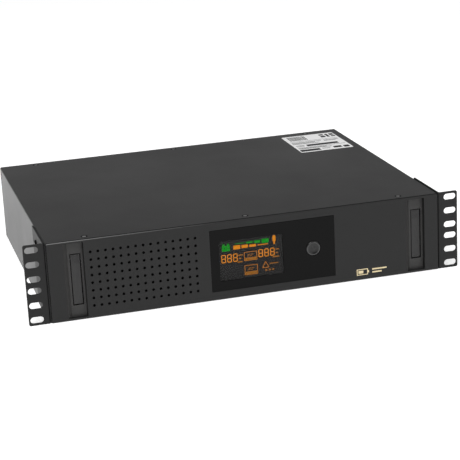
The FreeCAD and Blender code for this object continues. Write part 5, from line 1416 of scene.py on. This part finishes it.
def port_shapes():
    """A square data socket and two network jacks with gilt contacts and small lamps."""
    shells = refined("port_sockets", 0.2)
    gilt, lamps, shade_lining = bmesh.new(), bmesh.new(), bmesh.new()
    for low, high in solids("port_sockets")[1:]:
        centre = middle((low, high))
        floor = low.z + 3
        for index in range(8):
            across = centre.x - 3.6 + index * 1.02
            pipe(gilt, [(across, high.y - 2, floor + 6.4), (across, high.y - 10.5, floor + 3.4)], 0.2, 6)
        for lamp in (centre.x - 5.2, centre.x + 5.2):
            block(lamps, (lamp - 1.5, high.y - 0.5, floor + 8.2),
                  (lamp + 1.5, high.y + 0.05, floor + 9.8), 0.15)
        # Painted shade: a near-black sheet deep in each jack, where shade falls.
        block(shade_lining, (centre.x - 5.8, high.y - 12.1, floor + 0.05),
              (centre.x + 5.8, high.y - 11.8, floor + 6.9), 0)
    return [(shells, own("port_sockets")), (gilt, FINISHES["brass_pin"]), (lamps, FINISHES["coil_tape"]),
            (shade_lining, painted_shade_black)]


piece("port_shapes", port_shapes(), ["port_sockets"])


# ---- rating label ----

def label_art():
    """A white sticker with bars, blocks, rules and plain signs, and nothing to read."""
    low, high = span("rating_label")
    paper, marks = bmesh.new(), bmesh.new()
    top = high.z - 0.03
    prism(paper, rounded(low.x, low.y, high.x, high.y, 2.0), low.z, top, "z", 0.03)
    width, depth = high.x - low.x, high.y - low.y

    def mark(left, rear, right, front):
        block(marks, (low.x + left * width, high.y - front * depth, top - 0.02),
              (low.x + right * width, high.y - rear * depth, top + 0.02), 0)

    across = 0.08
    while across < 0.42:
        bar = rng.choice((0.006, 0.01, 0.016))
        mark(across, 0.05, min(across + bar, 0.42), 0.29)
        across += bar + rng.choice((0.007, 0.011))
    for left, rear, right, front in (
            (0.70, 0.06, 0.79, 0.13), (0.70, 0.16, 0.79, 0.25), (0.82, 0.06, 0.87, 0.25),
            (0.90, 0.06, 0.98, 0.16), (0.90, 0.19, 0.98, 0.25), (0.04, 0.34, 0.96, 0.352),
            (0.04, 0.40, 0.62, 0.42),
            (0.04, 0.445, 0.48, 0.465), (0.04, 0.49, 0.55, 0.51), (0.66, 0.40, 0.96, 0.42),
            (0.66, 0.445, 0.90, 0.465), (0.25, 0.575, 0.86, 0.675), (0.05, 0.585, 0.22, 0.605),
            (0.05, 0.64, 0.20, 0.66), (0.04, 0.715, 0.96, 0.73), (0.04, 0.755, 0.58, 0.775),
            (0.04, 0.79, 0.66, 0.81), (0.02, 0.85, 0.40, 0.96), (0.44, 0.86, 0.62, 0.875),
            (0.44, 0.90, 0.58, 0.915), (0.66, 0.83, 0.82, 0.93), (0.85, 0.84, 0.96, 0.95)):
        mark(left, rear, right, front)
    return [(paper, own("rating_label")), (marks, ink)]


piece("label_shape", label_art(), ["rating_label"])


# ---- studio ----

def add_floor():
    """A plain pale floor that glows a little, as an overlit studio sweep does."""
    bm = bmesh.new()
    bmesh.ops.create_grid(bm, x_segments=8, y_segments=8, size=30)
    floor = linked("floor", as_mesh(bm, "floor"))
    floor.location.z = cad_box[0].z
    material = finish("studio_floor", 235, 0.9, grain=3, relief=0.0, mottle=0.0, specular=0.0)
    surface = material.node_tree.nodes["Principled BSDF"]
    surface.inputs["Emission Color"].default_value = (1, 1, 1, 1)
    surface.inputs["Emission Strength"].default_value = 0.58
    floor.data.materials.append(material)


def add_light(name, place, size, power, target=(0, 0, 0.04)):
    light = bpy.data.lights.new(name, "AREA")
    light.size = size
    light.energy = power
    item = linked(name, light)
    item.location = place
    item.rotation_euler = (Vector(target) - Vector(place)).to_track_quat("-Z", "Y").to_euler()


def add_world():
    """A pale horizon, a darker band above it and a paler ceiling."""
    world = bpy.data.worlds.new("studio")
    bpy.context.scene.world = world
    world.use_nodes = True
    nodes, links = world.node_tree.nodes, world.node_tree.links
    place, parts, ramp = (new_node(nodes, kind) for kind in ("TexCoord", "SeparateXYZ", "ValToRGB"))
    links.new(place.outputs["Generated"], parts.inputs["Vector"])
    links.new(parts.outputs["Z"], ramp.inputs["Fac"])
    links.new(ramp.outputs["Color"], nodes["Background"].inputs["Color"])
    stops = ((0.0, 0.8), (0.1, 0.8), (0.24, 0.19), (0.7, 0.3), (1.0, 0.6))
    while len(ramp.color_ramp.elements) < len(stops):
        ramp.color_ramp.elements.new(0.5)
    for element, (position, level) in zip(ramp.color_ramp.elements, stops):
        element.position = position
        element.color = (level, level, level, 1)


def add_camera():
    """A long lens from the front left, a little above the object."""
    azimuth, elevation, roll = (math.radians(angle) for angle in (14.98, 17.11, -2.93))
    camera = bpy.data.cameras.new("camera")
    camera.sensor_width = 36
    camera.lens = 120.7
    camera.clip_start = 0.05
    ahead = Vector((math.sin(azimuth) * math.cos(elevation), math.cos(azimuth) * math.cos(elevation),
                    -math.sin(elevation)))
    right = Vector((math.cos(azimuth), -math.sin(azimuth), 0))
    up = right.cross(ahead)
    tilted = right * math.cos(roll) + up * math.sin(roll)
    upright = up * math.cos(roll) - right * math.sin(roll)
    matrix = Matrix((tilted, upright, -ahead)).transposed().to_4x4()
    matrix.translation = (-0.425, -1.683, 0.559)
    item = linked("camera", camera)
    item.matrix_world = matrix
    bpy.context.scene.camera = item


add_floor()
add_world()
add_light("key", (-0.9, -1.2, 2.4), 1.6, 34)
add_light("fill", (1.6, -1.6, 1.2), 1.4, 9)
add_light("glint", (-0.8, -1.2, 2.0), 0.3, 5)
add_camera()
bpy.context.scene.view_settings.view_transform = "Standard"
